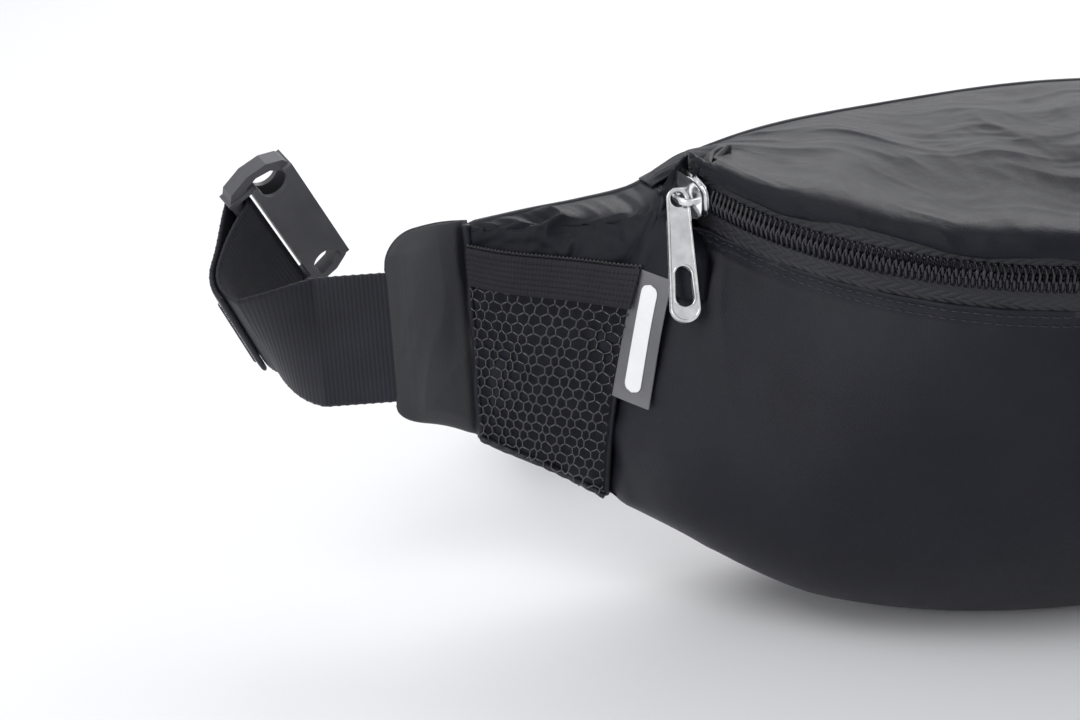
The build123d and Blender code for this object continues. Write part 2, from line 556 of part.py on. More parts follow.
def make_right_side():
    fall = math.radians(DROP)
    start = Station(Vector(WING_END_X + 0.1, BACK_Y, WEB_Z), Vector(math.cos(fall), 0, -math.sin(fall)),
                    Vector(math.sin(fall), 0, math.cos(fall)))
    down = route(start, RIGHT_ROUTE, step=12.0)
    last = down[-1]
    # Where the strap reaches the surface it levels out and stands on its lower edge.
    ahead = Vector(last.along.X, last.along.Y, 0).normalized()
    level_z = BUCKLE_WIDTH / 2 + 1.0 + FLOOR_GAP
    landing = last.point + ahead * LEVEL_GAP
    level = Station(Vector(landing.X, landing.Y, level_z), ahead, Vector(0, 0, 1))
    run = down + route(level, LEVEL_ROUTE, step=9.0)
    lowest = min((s.point - s.across * (WEB_WIDTH / 2)).Z for s in run)
    bar, face, loop = round_bar(run[-1], 1)
    end = run[-1]
    near = Station(end.point + face * TAIL_GAP * 1.3 - end.along * TAIL_START, end.along * -1, end.across)
    far = Station(near.point - end.along * (RIGHT_TAIL - TAIL_START), near.along, near.across)
    add("webbing_right", strap(run + loop + [near, far]))
    make_male(buckle_frame(bar, end.along, end.across))
    middle = end.point - end.along * KEEPER_FROM_BUCKLE + face * (TAIL_GAP * 0.65)
    keeper_plane = Plane(origin=middle, x_dir=end.across, z_dir=end.along)
    hole_x = WEB_WIDTH / 2 + 0.7
    hole_y = TAIL_GAP * 0.65 + WEB_THICK / 2 + 0.6
    ring = block(keeper_plane, -hole_x - KEEPER_WALL, hole_x + KEEPER_WALL, -hole_y - KEEPER_WALL,
                 hole_y + KEEPER_WALL, -KEEPER_LENGTH / 2, KEEPER_LENGTH / 2)
    hole = block(keeper_plane, -hole_x, hole_x, -hole_y, hole_y, -KEEPER_LENGTH, KEEPER_LENGTH)
    add("strap_keeper", largest(ring - hole))
    length = sum(s[0] for s in RIGHT_ROUTE + LEVEL_ROUTE) + LEVEL_GAP
    print("right strap length", length, "lowest edge", round(lowest, 2), "bar", bar, "along", end.along)


def main():
    make_body()
    make_back_panel()
    make_wings()
    make_pockets()
    make_label()
    make_zip()
    make_left_side()
    make_right_side()
    os.makedirs("parts", exist_ok=True)
    for name, shape in PARTS.items():
        export_step(shape, f"parts/{name}.step")
        box = shape.bounding_box()
        print(f"{name:24s} {len(shape.solids())} solids  {shape.volume:9.0f} mm3  {box.min}  {box.max}")


main()
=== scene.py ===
import json
import math
from math import pi

import bpy
import numpy as np
from mathutils import Matrix, Vector


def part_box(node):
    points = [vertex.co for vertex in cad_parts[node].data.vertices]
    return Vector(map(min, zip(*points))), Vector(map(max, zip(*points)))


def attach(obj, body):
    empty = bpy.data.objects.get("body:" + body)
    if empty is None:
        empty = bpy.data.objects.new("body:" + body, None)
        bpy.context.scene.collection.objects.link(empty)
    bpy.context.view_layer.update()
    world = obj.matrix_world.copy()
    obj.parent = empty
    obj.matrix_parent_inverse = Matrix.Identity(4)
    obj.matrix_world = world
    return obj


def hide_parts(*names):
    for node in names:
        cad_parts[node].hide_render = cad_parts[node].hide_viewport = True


# A waist bag's looks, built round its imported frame. Lengths in this script are in millimetres.
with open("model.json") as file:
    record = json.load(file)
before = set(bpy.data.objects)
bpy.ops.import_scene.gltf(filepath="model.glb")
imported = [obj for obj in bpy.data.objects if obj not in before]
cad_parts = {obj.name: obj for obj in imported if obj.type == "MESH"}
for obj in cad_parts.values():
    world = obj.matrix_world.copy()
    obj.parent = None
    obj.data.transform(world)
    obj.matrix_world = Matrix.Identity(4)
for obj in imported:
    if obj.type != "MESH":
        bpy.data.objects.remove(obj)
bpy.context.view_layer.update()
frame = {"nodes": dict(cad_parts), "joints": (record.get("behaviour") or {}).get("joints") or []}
MM = 0.001
UV_UNIT = 10.0                # a UV unit is a centimetre of cloth
MATERIALS = {}


# ---------------------------------------------------------------- shape of the bag
# These repeat the design's dimensions, so that each fabric piece lies where its solid does.
ZIP_HALF_CHORD = 97.4
ZIP_SAG = 65.0
ZIP_TILT = math.radians(10.3)
ZIP_END_Y = -6.9
ZIP_END_Z = 117.9
ZIP_R = (ZIP_HALF_CHORD**2 + ZIP_SAG**2) / (2 * ZIP_SAG)
ZIP_END_ANGLE = math.asin(ZIP_HALF_CHORD / ZIP_R)
ZIP_REACH = ZIP_END_ANGLE + math.radians(4.2)
SLIDER_ANGLE = ZIP_END_ANGLE + math.radians(1.1)
ZIP_NORMAL = np.array([0.0, -math.sin(ZIP_TILT), math.cos(ZIP_TILT)])
ZIP_BACKWARD = np.array([0.0, math.cos(ZIP_TILT), math.sin(ZIP_TILT)])
ZIP_CENTRE = np.array([0.0, ZIP_END_Y, ZIP_END_Z]) + ZIP_BACKWARD * (ZIP_R - ZIP_SAG)
TOOTH = 1.6
HEM_UP = 6.6                  # height of the top panel's hem above the middle of the zip
HEM_DOWN = 8.6                # depth of the front panel's folded edge below it
BACK_Y = 23.5
WING_SEAM_X = 158.5
REST_DROP = 1.4
SEAM_LAP = 1.6                # how far the top and side panels lap over each other
WING_Y = 25.0                 # middle of the wings and of the straps' ends in them
WING_OUTER_X = 181.5
STRAP_START = np.array([181.6, WING_Y, 76.0])
STRAP_IN_WING = 6.0
UP = np.array([0.0, 0.0, 1.0])
# Cross-sections: x; shoulder y, z; top; crown; upper pull y, z; lower pull y, z; front y, z; rear; foot.
SECTIONS = np.array([
    [0.0, -70.8, 106.2, 133.5, 13.0, -75.0, 72.0, -66.0, 4.0, -27.0, 0.0, 8.0, 9.0],
    [45.0, -62.3, 107.7, 131.0, 13.0, -68.0, 76.0, -62.0, 8.0, -26.0, 2.2, 6.0, 10.0],
    [75.0, -40.0, 111.8, 127.5, 13.0, -53.0, 84.0, -57.0, 16.0, -23.0, 9.5, 8.0, 16.0],
    [97.4, -6.9, 117.9, 121.5, 12.0, -24.0, 98.0, -50.0, 28.0, -14.0, 19.5, 10.0, 24.0],
    [112.0, 0.0, 113.0, 114.5, 3.0, -12.0, 98.0, -34.0, 36.0, -8.0, 27.0, 12.0, 30.0],
    [126.0, 8.0, 110.0, 112.0, 1.5, 2.0, 98.0, -6.0, 42.0, 2.0, 33.0, 14.0, 35.0],
    [140.0, 15.0, 108.5, 110.5, 1.0, 12.0, 98.0, 7.0, 46.0, 12.0, 38.5, 18.0, 40.0],
    [158.5, 21.9, 107.0, 108.0, 0.3, 21.6, 95.0, 21.6, 56.0, 21.9, 45.0, 22.8, 45.5],
])
SEAM_TOP = (101.5, 128.0)
SEAM_MIDDLE = (120.5, 78.0)
SEAM_FOOT = (126.5, 30.0)


def smooth_rows(step=0.5):
    """The cross-sections on a smooth curve, every half millimetre of x."""
    rows = SECTIONS
    x = rows[:, 0]
    slope = np.zeros_like(rows)
    slope[1:-1] = (rows[2:] - rows[:-2]) / (x[2:] - x[:-2])[:, None]
    slope[-1] = (rows[-1] - rows[-2]) / (x[-1] - x[-2])
    fine = np.arange(0, x[-1] + step, step)
    k = np.clip(np.searchsorted(x, fine, side="right") - 1, 0, len(x) - 2)
    span = (x[k + 1] - x[k])[:, None]
    t = (fine[:, None] - rows[k, :1]) / span
    rise = rows[k + 1] - rows[k]
    a = slope[k] * span
    b = slope[k + 1] * span
    out = rows[k] + t * (a + t * (3 * rise - 2 * a - b + t * (a + b - 2 * rise)))
    out[:, 0] = fine
    inside = fine <= ZIP_HALF_CHORD
    back = ZIP_R - np.sqrt(ZIP_R**2 - fine[inside]**2) - ZIP_SAG
    out[inside, 1] = ZIP_END_Y + back * math.cos(ZIP_TILT)
    out[inside, 2] = ZIP_END_Z + back * math.sin(ZIP_TILT) + REST_DROP
    return out


ROWS = smooth_rows()


def bezier(p0, p1, p2, p3, t):
    return (1 - t)**3 * p0 + 3 * (1 - t)**2 * t * p1 + 3 * (1 - t) * t**2 * p2 + t**3 * p3


def body(x, q):
    """The bag's skin. q runs from -1 at the back's top, over 0 at the zip, and 1 and 2 under the
    bag, to 3 at the back's foot."""
    x, q = np.broadcast_arrays(np.asarray(x, float), np.asarray(q, float))
    ax = np.abs(x)
    sy, sz, top, crown, hy, hz, ly, lz, fy, fz, rear, foot = [
        np.interp(ax, ROWS[:, 0], column) for column in ROWS[:, 1:].T]
    depth = BACK_Y - sy
    t = np.clip(q + 1, 0, 1)
    y_top = bezier(BACK_Y, BACK_Y - depth * 0.4, sy + depth * 0.05, sy, t)
    z_top = bezier(top, top + crown * 0.15, sz + crown, sz, t)
    t = np.clip(q, 0, 1)
    y_front = bezier(sy, hy, ly, fy, t)
    z_front = bezier(sz, hz, lz, fz, t)
    t = np.clip(q - 1, 0, 1)
    y_rest = fy + (rear - fy) * t
    t = np.clip(q - 2, 0, 1)
    y_heel = bezier(rear, rear + (BACK_Y - rear) * 0.6, BACK_Y, BACK_Y, t)
    z_heel = bezier(fz, fz, fz + (foot - fz) * 0.4, foot, t)
    y = np.where(q < 0, y_top, np.where(q < 1, y_front, np.where(q < 2, y_rest, y_heel)))
    z = np.where(q < 0, z_top, np.where(q < 1, z_front, np.where(q < 2, fz, z_heel))) - REST_DROP
    z = 0.5 * (z + np.sqrt(z**2 + 0.3))
    return np.stack([x, y, z], -1)


def seam_x(z):
    """Half width of the front panel at a height: an arc through three points."""
    (x1, z1), (x2, z2), (x3, z3) = SEAM_TOP, SEAM_MIDDLE, SEAM_FOOT
    a = np.array([[x2 - x1, z2 - z1], [x3 - x1, z3 - z1]]) * 2
    b = np.array([x2**2 - x1**2 + z2**2 - z1**2, x3**2 - x1**2 + z3**2 - z1**2])
    cx, cz = np.linalg.solve(a, b)
    r = math.hypot(x1 - cx, z1 - cz)
    z = np.maximum(z, z3)
    return cx + np.sqrt(np.maximum(r**2 - (z - cz)**2, 0))


def seam_at(q):
    """Half width of the front at each q, where the skin crosses the side seam."""
    x = np.full(np.shape(q), 115.0)
    for _ in range(40):
        x = 0.5 * x + 0.5 * seam_x(body(x, q)[..., 2])
    return x


def rise(points):
    """Height above the zip's plane."""
    return (points - ZIP_CENTRE) @ ZIP_NORMAL


def level_q(x, w, low, high):
    """The q between low and high where the skin at x is at height w over the zip's plane."""
    steps = np.linspace(low, high, 161)
    heights = rise(body(x[:, None], steps[None, :]))
    wanted = np.broadcast_to(w, x.shape)
    return np.array([np.interp(-height, -row, steps) for height, row in zip(wanted, heights)])


def hem_q(x, w):
    """The q above the zip where the top panel's hem is at height w, or as near as the panel comes."""
    steps = np.linspace(0.0, -0.5, 161)
    climb = np.maximum.accumulate(rise(body(x[:, None], steps[None, :])), axis=1)
    climb = climb + np.arange(len(steps)) * 1e-6
    return np.array([np.interp(height, row, steps) for height, row in zip(w, climb)])


def zip_at(angle, outward=0.0, w=0.0):
    """A point of the zip: angle from its middle, distance outside its arc, height over its plane."""
    angle, outward, w = np.broadcast_arrays(np.asarray(angle, float), outward, w)
    radial = np.sin(angle)[..., None] * np.array([1.0, 0, 0]) - np.cos(angle)[..., None] * ZIP_BACKWARD
    return ZIP_CENTRE + radial * (ZIP_R + outward)[..., None] + w[..., None] * ZIP_NORMAL


def zip_angle(points):
    """Each point's angle round the zip's arc, from its middle."""
    return np.arctan2(points[..., 0], -((points - ZIP_CENTRE) @ ZIP_BACKWARD))


def side_name(side):
    return "left" if side < 0 else "right"


# ---------------------------------------------------------------- noise and meshes
def clamp(value):
    return np.clip(value, 0, 1)


def fade(value, width):
    """1 at zero, falling off smoothly to either side."""
    return np.exp(-(value / width)**2)


def from_ends(u):
    """Distance from the nearer end of a grid's first way."""
    return np.abs(u - np.where(u < 0, u[0], u[-1]))


def unit(vectors):
    """Vectors made one long, along the last axis."""
    return vectors / np.maximum(np.linalg.norm(vectors, axis=-1, keepdims=True), 1e-9)


def noise2(u, v, seed):
    """Smooth value noise from 0 to 1."""
    table = np.random.default_rng(seed).random((128, 128))
    iu, iv = np.floor(u).astype(int), np.floor(v).astype(int)
    fu, fv = u - iu, v - iv
    fu, fv = fu * fu * (3 - 2 * fu), fv * fv * (3 - 2 * fv)
    a, b = table[iu % 128, iv % 128], table[(iu + 1) % 128, iv % 128]
    c, d = table[iu % 128, (iv + 1) % 128], table[(iu + 1) % 128, (iv + 1) % 128]
    return (a * (1 - fu) + b * fu) * (1 - fv) + (c * (1 - fu) + d * fu) * fv


def crumple(u, v, seed, octaves=3):
    """Ridged noise, like the folds of thin nylon: about 0, with sharp crests."""
    total = np.zeros(np.broadcast(u, v).shape)
    size = 1.0
    for i in range(octaves):
        bend = noise2(u * 0.5 + 9.1, v * 0.5 + 3.7, seed + 50 + i) * 1.6
        n = noise2(u + bend, v - bend, seed + i)
        total += (1 - np.abs(2 * n - 1) * 2) * size
        u, v, size = u * 1.9 + 5.3, v * 1.9 + 1.7, size * 0.48
    return total


def grid_normals(points):
    du = np.gradient(points, axis=0)
    dv = np.gradient(points, axis=1)
    return unit(np.cross(du, dv))


def arc_lengths(points):
    """Distances in millimetres along both ways of a grid, for its weave."""
    du = np.linalg.norm(np.diff(points, axis=0), axis=-1)
    dv = np.linalg.norm(np.diff(points, axis=1), axis=-1)
    u = np.concatenate([np.zeros((1, points.shape[1])), np.cumsum(du, 0)])
    v = np.concatenate([np.zeros((points.shape[0], 1)), np.cumsum(dv, 1)], 1)
    return u - u.mean(0), v


def add(name, data):
    """A new object in the scene."""
    obj = bpy.data.objects.new(name, data)
    bpy.context.scene.collection.objects.link(obj)
    return obj


def make_mesh(name, verts, faces, material, uv=None):
    mesh = bpy.data.meshes.new(name)
    mesh.from_pydata((np.asarray(verts) * MM).tolist(), [], faces)
    if uv is not None:
        layer = mesh.uv_layers.new(name="UVMap")
        index = np.empty(len(mesh.loops), dtype=np.int32)
        mesh.loops.foreach_get("vertex_index", index)
        layer.data.foreach_set("uv", (np.asarray(uv) / UV_UNIT)[index].astype(np.float32).ravel())
    mesh.polygons.foreach_set("use_smooth", np.ones(len(mesh.polygons), dtype=bool))
    mesh.materials.append(MATERIALS[material])
    return add(name, mesh)


def grid_faces(n, m):
    i, j = np.meshgrid(np.arange(n - 1), np.arange(m - 1), indexing="ij")
    corner = i * m + j
    return np.stack([corner, corner + m, corner + m + 1, corner + 1], -1).reshape(-1, 4)


def fabric(name, points, material, thick=0.6, uv=None, flip=False):
    """A fabric panel from a grid of points, given its thickness on the inner side."""
    n, m = points.shape[:2]
    if uv is None:
        uv = np.stack(arc_lengths(points), -1)
    faces = grid_faces(n, m)
    if flip:
        faces = faces[:, ::-1]
    obj = make_mesh(name, points.reshape(-1, 3), faces.tolist(), material, uv.reshape(-1, 2))
    solid = obj.modifiers.new("thickness", "SOLIDIFY")
    solid.thickness = thick * MM
    solid.offset = -1.0
    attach(obj, "bag")
    return obj


def tubes(name, paths, radius, material, sides=6, closed=False):
    """Round threads or wires, one for each path, joined in one piece."""
    verts, faces = [], []
    count = 0
    ring = np.linspace(0, 2 * pi, sides, endpoint=False)
    for path in paths:
        p = np.asarray(path, float)
        if closed:
            ahead = np.roll(p, -1, 0) - np.roll(p, 1, 0)
        else:
            ahead = np.gradient(p, axis=0)
        ahead = unit(ahead)
        ref = np.array([0.13, 0.27, 0.95]) if abs(ahead[0, 2]) < 0.9 else np.array([0.95, 0.2, 0.1])
        side = unit(np.cross(ahead, ref))
        up = np.cross(side, ahead)
        circle = side[:, None] * np.cos(ring)[:, None] + up[:, None] * np.sin(ring)[:, None]
        loop = p[:, None] + radius * circle
        n = len(p)
        verts.append(loop.reshape(-1, 3))
        for i in range(n if closed else n - 1):
            here, there = count + i * sides, count + (i + 1) % n * sides
            for j in range(sides):
                k = (j + 1) % sides
                faces.append((here + j, here + k, there + k, there + j))
        if not closed:
            faces.append(tuple(count + j for j in reversed(range(sides))))
            faces.append(tuple(count + (n - 1) * sides + j for j in range(sides)))
        count += n * sides
    obj = make_mesh(name, np.concatenate(verts), faces, material)
    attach(obj, "bag")
    return obj


def resample(path, step):
    """Points evenly spaced along a path, and their distances."""
    p = np.asarray(path, float)
    s = np.concatenate([[0], np.cumsum(np.linalg.norm(np.diff(p, axis=0), axis=1))])
    n = max(2, int(round(s[-1] / step)) + 1)
    at = np.linspace(0, s[-1], n)
    return np.stack([np.interp(at, s, p[:, i]) for i in range(3)], -1), at


def at_rows(where, rows):
    """Points between a list's rows, at fractional row numbers."""
    return np.stack([np.interp(where, np.arange(len(rows)), rows[:, i]) for i in range(3)], -1)


def stitches(name, path, outward, pitch=2.7, length=2.0, radius=0.17):
    """A row of lockstitches along a path. outward lifts each thread's middle off the cloth."""
    fine, at = resample(path, 0.25)
    out = np.asarray(outward, float)
    if out.ndim == 1:
        out = np.broadcast_to(out, fine.shape)
    else:
        src = np.linspace(0, 1, len(out))
        dst = np.linspace(0, 1, len(fine))
        out = np.stack([np.interp(dst, src, out[:, i]) for i in range(3)], -1)
    out = unit(out)
    height = np.array([-0.12, 0.1, 0.16, 0.1, -0.12])[:, None]
    threads = []
    for start in np.arange(at[0] + 0.4, at[-1] - length, pitch):
        k = np.interp(np.linspace(start, start + length, 5), at, np.arange(len(at)))
        threads.append(at_rows(k, fine) + at_rows(k, out) * height)
    return tubes(name, threads, radius, "thread", sides=5)


# ---------------------------------------------------------------- materials
def plug(socket, value):
    """Sets an input to a value, or links it to another node's output."""
    if isinstance(value, bpy.types.NodeSocket):
        socket.id_data.links.new(value, socket)
    else:
        socket.default_value = value


def put(made, **settings):
    """Plugs a node's inputs by name, with underscores for spaces."""
    for key, value in settings.items():
        plug(made.inputs[key.replace("_", " ")], value)


def node(tree, kind, **settings):
    made = tree.nodes.new(kind)
    put(made, **settings)
    return made


def new_material(name):
    material = bpy.data.materials.new(name)
    material.use_nodes = True
    MATERIALS[name] = material
    return material.node_tree, material.node_tree.nodes["Principled BSDF"]


def noise_node(tree, place, scale, detail=4.0, rough=0.55):
    n = node(tree, "ShaderNodeTexNoise", Vector=place, Scale=scale, Detail=detail, Roughness=rough)
    return n.outputs["Fac"]


def ramp(tree, value, low, high, a, b):
    """value, from low to high, turned into colours a to b."""
    share = node(tree, "ShaderNodeMapRange", Value=value, From_Min=low, From_Max=high)
    mix = node(tree, "ShaderNodeMix")
    mix.data_type = "RGBA"
    put(mix, Factor=share.outputs["Result"], A=(*a, 1), B=(*b, 1))
    return mix.outputs["Result"]


def scaled(tree, value, low, high):
    return node(tree, "ShaderNodeMapRange", Value=value, To_Min=low, To_Max=high).outputs["Result"]


def math_node(tree, operation, *values):
    n = node(tree, "ShaderNodeMath")
    n.operation = operation
    for socket, value in zip(n.inputs, values):
        plug(socket, value)
    return n.outputs[0]


def weave_height(tree, uv, pitch_u, pitch_v):
    """A plain weave: threads over and under, at so many millimetres each way."""
    split = node(tree, "ShaderNodeSeparateXYZ", Vector=uv)
    u = math_node(tree, "MULTIPLY", split.outputs[0], UV_UNIT * pi / pitch_u)
    v = math_node(tree, "MULTIPLY", split.outputs[1], UV_UNIT * pi / pitch_v)
    both = math_node(tree, "MULTIPLY", math_node(tree, "SINE", u), math_node(tree, "SINE", v))
    return math_node(tree, "ABSOLUTE", both)


def bump(tree, shader, height, strength, distance_mm, **before):
    """A bump on a shader, over the Normal of the one before it."""
    n = node(tree, "ShaderNodeBump", Height=height, Strength=strength, Distance=distance_mm * MM,
             **before)
    put(shader, Normal=n.outputs[0])
    return n.outputs[0]


def cloth_material(name, dark, light, rough, weave, sheen, crinkle, gloss):
    """Woven synthetic cloth: thread weave, fine crinkle, colour variation and a soft sheen."""
    tree, shader = new_material(name)
    coords = node(tree, "ShaderNodeTexCoord")
    place, uv = coords.outputs["Object"], coords.outputs["UV"]
    put(shader, Base_Color=ramp(tree, noise_node(tree, place, 38.0, 5.0), 0.3, 0.7, dark, light),
        Roughness=scaled(tree, noise_node(tree, place, 70.0, 3.0), *rough),
        Specular_IOR_Level=gloss, Sheen_Weight=sheen, Sheen_Roughness=0.5)
    first = bump(tree, shader, noise_node(tree, place, 260.0, 4.0, 0.6), crinkle, 0.5)
    bump(tree, shader, weave_height(tree, uv, *weave), 0.35, 0.12, Normal=first)


# Cloths: darkest and lightest colour, roughness, threads' pitch each way, sheen, crinkle, gloss.
CLOTHS = {
    "shell_nylon": ((0.0048, 0.0051, 0.0098), (0.0085, 0.0089, 0.0155),
                    (0.36, 0.52), (0.45, 0.45), 0.02, 0.12, 0.22),
    "top_nylon": ((0.0044, 0.0047, 0.0085), (0.0080, 0.0085, 0.0140),
                  (0.34, 0.48), (0.45, 0.45), 0.01, 0.3, 0.15),
    # The wings' cloth is the shell nylon with a lighter colour: painted light, for the wing sides that
    # face the lamps.
    "wing_nylon_painted_light": ((0.0075, 0.0078, 0.0112), (0.0145, 0.0150, 0.0190),
                   (0.42, 0.56), (0.45, 0.45), 0.05, 0.15, 0.5),
    "back_fabric": ((0.006, 0.006, 0.009), (0.012, 0.012, 0.016),
                    (0.6, 0.8), (1.1, 1.1), 0.06, 0.2, 0.15),
    "elastic": ((0.006, 0.006, 0.009), (0.014, 0.014, 0.019), (0.5, 0.7), (0.7, 0.9), 0.05, 0.1, 0.2),
    "webbing": ((0.0070, 0.0072, 0.0115), (0.0145, 0.0148, 0.0220),
                (0.42, 0.6), (0.6, 1.2), 0.05, 0.1, 0.25),
    "zip_tape": ((0.0075, 0.0077, 0.0115), (0.0155, 0.0158, 0.021),
                 (0.42, 0.58), (0.5, 0.9), 0.05, 0.1, 0.35),
    "pocket_mesh": ((0.006, 0.006, 0.009), (0.022, 0.022, 0.028),
                    (0.2, 0.36), (0.4, 0.4), 0.04, 0.1, 0.9),
    "label_satin": ((0.06, 0.06, 0.068), (0.13, 0.13, 0.145), (0.28, 0.42), (0.35, 0.35), 0.2, 0.1, 0.5),
    "label_patch": ((0.68, 0.68, 0.7), (0.82, 0.82, 0.84), (0.5, 0.65), (0.4, 0.4), 0.1, 0.1, 0.3),
    "thread": ((0.009, 0.009, 0.012), (0.026, 0.026, 0.032), (0.4, 0.55), (0.3, 0.3), 0.05, 0.1, 0.4),
}


def make_materials():
    for name, look in CLOTHS.items():
        cloth_material(name, *look)
    make_metal()
    make_plastic("buckle_plastic", (0.055, 0.055, 0.062), (0.085, 0.085, 0.095), 0.45)
    make_plastic("zip_coil", (0.007, 0.007, 0.010), (0.016, 0.016, 0.021), 0.26)


def make_metal():
    tree, shader = new_material("zip_metal")
    place = node(tree, "ShaderNodeTexCoord").outputs["Object"]
    cloudy = noise_node(tree, place, 300.0, 4.0)
    put(shader, Base_Color=ramp(tree, cloudy, 0.3, 0.75, (0.66, 0.66, 0.67), (0.88, 0.88, 0.89)),
        Metallic=1.0, Roughness=scaled(tree, noise_node(tree, place, 500.0, 5.0), 0.12, 0.28))
    bump(tree, shader, noise_node(tree, place, 1400.0, 3.0), 0.12, 0.1)


def make_plastic(name, dark, light, rough):
    tree, shader = new_material(name)
    place = node(tree, "ShaderNodeTexCoord").outputs["Object"]
    put(shader, Base_Color=ramp(tree, noise_node(tree, place, 90.0), 0.3, 0.7, dark, light),
        Roughness=scaled(tree, noise_node(tree, place, 220.0), rough - 0.08, rough + 0.12))
    bump(tree, shader, noise_node(tree, place, 2600.0, 2.0), 0.2, 0.06)


# ---------------------------------------------------------------- fabric panels
def make_front():
    """The front panel, from its folded edge under the zip, down and round to the back's foot."""
    columns, rows = 420, 250
    s = np.linspace(-1, 1, columns)
    q_line = np.concatenate([np.linspace(0, 1, rows - 60) ** 0.9, np.linspace(1, 3, 61)[1:]])
    half = seam_at(q_line)
    edge = level_q(np.abs(s * half[0]), -HEM_DOWN, 0.0, 0.5)
    for _ in range(3):
        reach = np.interp(edge, q_line, half)
        edge = level_q(np.abs(s * reach), -HEM_DOWN, 0.0, 0.5)
    below = edge[:, None] + (1 - edge[:, None]) * q_line[None, :]
    q = np.where(q_line[None, :] < 1, below, q_line[None, :])
    p = body(s[:, None] * seam_at(q), q)
    u, v = arc_lengths(p)
    # The folded edge lies on the tape, and the panel fills out below it.
    angle = zip_angle(p)
    on_tape = zip_at(np.clip(angle, -ZIP_REACH, ZIP_REACH), 0.9, rise(p))
    near = fade(v, 9.0)[..., None] * (np.abs(angle) < ZIP_REACH)[..., None]
    ends = clamp((ZIP_REACH - np.abs(angle)) / 0.12)[..., None]
    p = p + (on_tape - p) * near * ends
    n = grid_normals(p)
    n = n * np.sign(-n[..., 1].mean())
    seam = from_ends(u)
    pucker = np.sin(v / 3.1 + 2.2 * noise2(v / 11, seam / 9, 3)) * np.exp(-seam / 9) * 0.55
    drape = 1.3 * (noise2(u / 46 + 3, v / 60 + 1, 4) - 0.5) + 0.5 * (noise2(u / 19, v / 26, 5) - 0.5)
    creases = 0.55 * crumple(u / 34 + v / 60, v / 42 - u / 70, 6, 2) * np.exp(-seam / 45)
    sag = -1.5 * fade(seam, 4.0)
    hem = 0.5 * fade(v, 1.6) - 0.35 * fade(v - 5.2, 0.7) + 0.18 * np.sin(u / 2.2) * fade(v, 7)
    calm = 1 - np.exp(-(p[..., 2] / 3.0))
    p = p + n * ((pucker + drape + creases + sag) * calm + hem)[..., None]
    p[..., 2] = np.maximum(p[..., 2], 0.02)
    obj = fabric("front_shell", p, "shell_nylon", 0.7, flip=True)
    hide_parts("front_panel")
    for i, distance in enumerate((1.9, 4.6)):
        row = int(np.argmin(np.abs(v[columns // 2] - distance)))
        stitches(f"front_topstitch_{i}", p[6:-6, row], n[6:-6, row])


def make_top():
    """The top panel: crinkled, with a wavy hem that overhangs the upper tape."""
    columns, rows = 420, 190
    s = np.linspace(-1, 1, columns)
    x0 = s * float(seam_at(np.array([-0.25]))[0])
    wave = np.sin(x0 / 11.0 + 1.2) + 0.8 * np.sin(x0 / 5.3)
    wave = wave + 2.2 * (noise2(x0 / 13.0, x0 * 0 + 2.5, 21) - 0.5)
    edge = hem_q(np.abs(x0), HEM_UP + wave)
    q = -1 + (edge[:, None] + 1) * np.linspace(0, 1, rows)[None, :]
    half = seam_at(q) + SEAM_LAP
    p = body(s[:, None] * half, q)
    u, v = arc_lengths(p)
    back = v[:, -1:] - v
    # Near its hem the panel leans forward, over the tape.
    angle = zip_angle(p)
    over_tape = zip_at(np.clip(angle, -ZIP_REACH, ZIP_REACH), 1.7, rise(p))
    ends = clamp((ZIP_REACH + 0.02 - np.abs(angle)) / 0.08)
    p = p + (over_tape - p) * (fade(back, 17.0) * ends)[..., None]
    n = grid_normals(p)
    n = n * np.sign(n[..., 2].mean())
    seam = from_ends(u)
    puff = 2.6 * fade(back - 8, 7) * clamp(seam / 25)
    radial = crumple(u / 17 + 4, back / 40, 22, 3) * np.exp(-back / 22) * 0.42
    broad = 0.55 * crumple(u / 55, back / 16 + u / 120, 23, 3)
    fine = 0.12 * crumple(u / 9, back / 9, 24, 2)
    hem = -0.7 * fade(back, 1.6) + 0.16 * np.sin(u / 1.7) * np.exp(-back / 5)
    corner = 2.0 * fade(seam, 9) * fade(back, 22)
    held = np.clip(seam / 4, 0.25, 1) * np.clip(v / 7, 0.15, 1)
    p = p + n * ((puff + radial + broad + fine) * held + hem + corner)[..., None]
    obj = fabric("top_shell", p, "top_nylon", 0.6)
    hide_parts("top_panel")


def make_side(side):
    """A side panel behind the pocket, with its glossy gathered top."""
    name = side_name(side)
    columns, rows = 120, 260
    q = np.linspace(-1, 3, rows)
    inner = seam_at(q) - SEAM_LAP * clamp(-4 * q)
    s = np.linspace(0, 1, columns)
    x = inner[None, :] + s[:, None] * (WING_SEAM_X - inner)[None, :]
    p = body(side * x, q[None, :])
    u, v = arc_lengths(p)
    n = grid_normals(p)
    n = n * np.sign(-n[..., 1].mean())
    seam = np.abs(u - u[0])
    wing = np.abs(u[-1] - u)
    z = p[..., 2]
    upper = 1 / (1 + np.exp(-(z - 98) / 3.0))        # 0 behind the pocket, 1 above it
    gather = crumple(seam / 15 + z / 30, z / 13 - seam / 45, 31 + side, 3) * (0.45 + 1.1 * upper)
    pulled = 0.8 * np.sin(z / 3.6 + 3 * noise2(z / 12, seam / 10, 33)) * np.exp(-seam / 8)
    held = np.clip(seam / 5, 0.2, 1) * np.clip(wing / 5, 0.15, 1)
    sag = -0.5 * fade(seam, 3.5) - 0.5 * fade(wing, 3)
    depth = np.clip((BACK_Y - p[..., 1]) / 5, 0.1, 1)
    p = p + n * ((gather * held + pulled * 0.5 + sag) * depth)[..., None]
    obj = fabric(f"side_shell_{name}", p, "top_nylon", 0.6, flip=side < 0)
    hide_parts(f"side_panel_{name}")


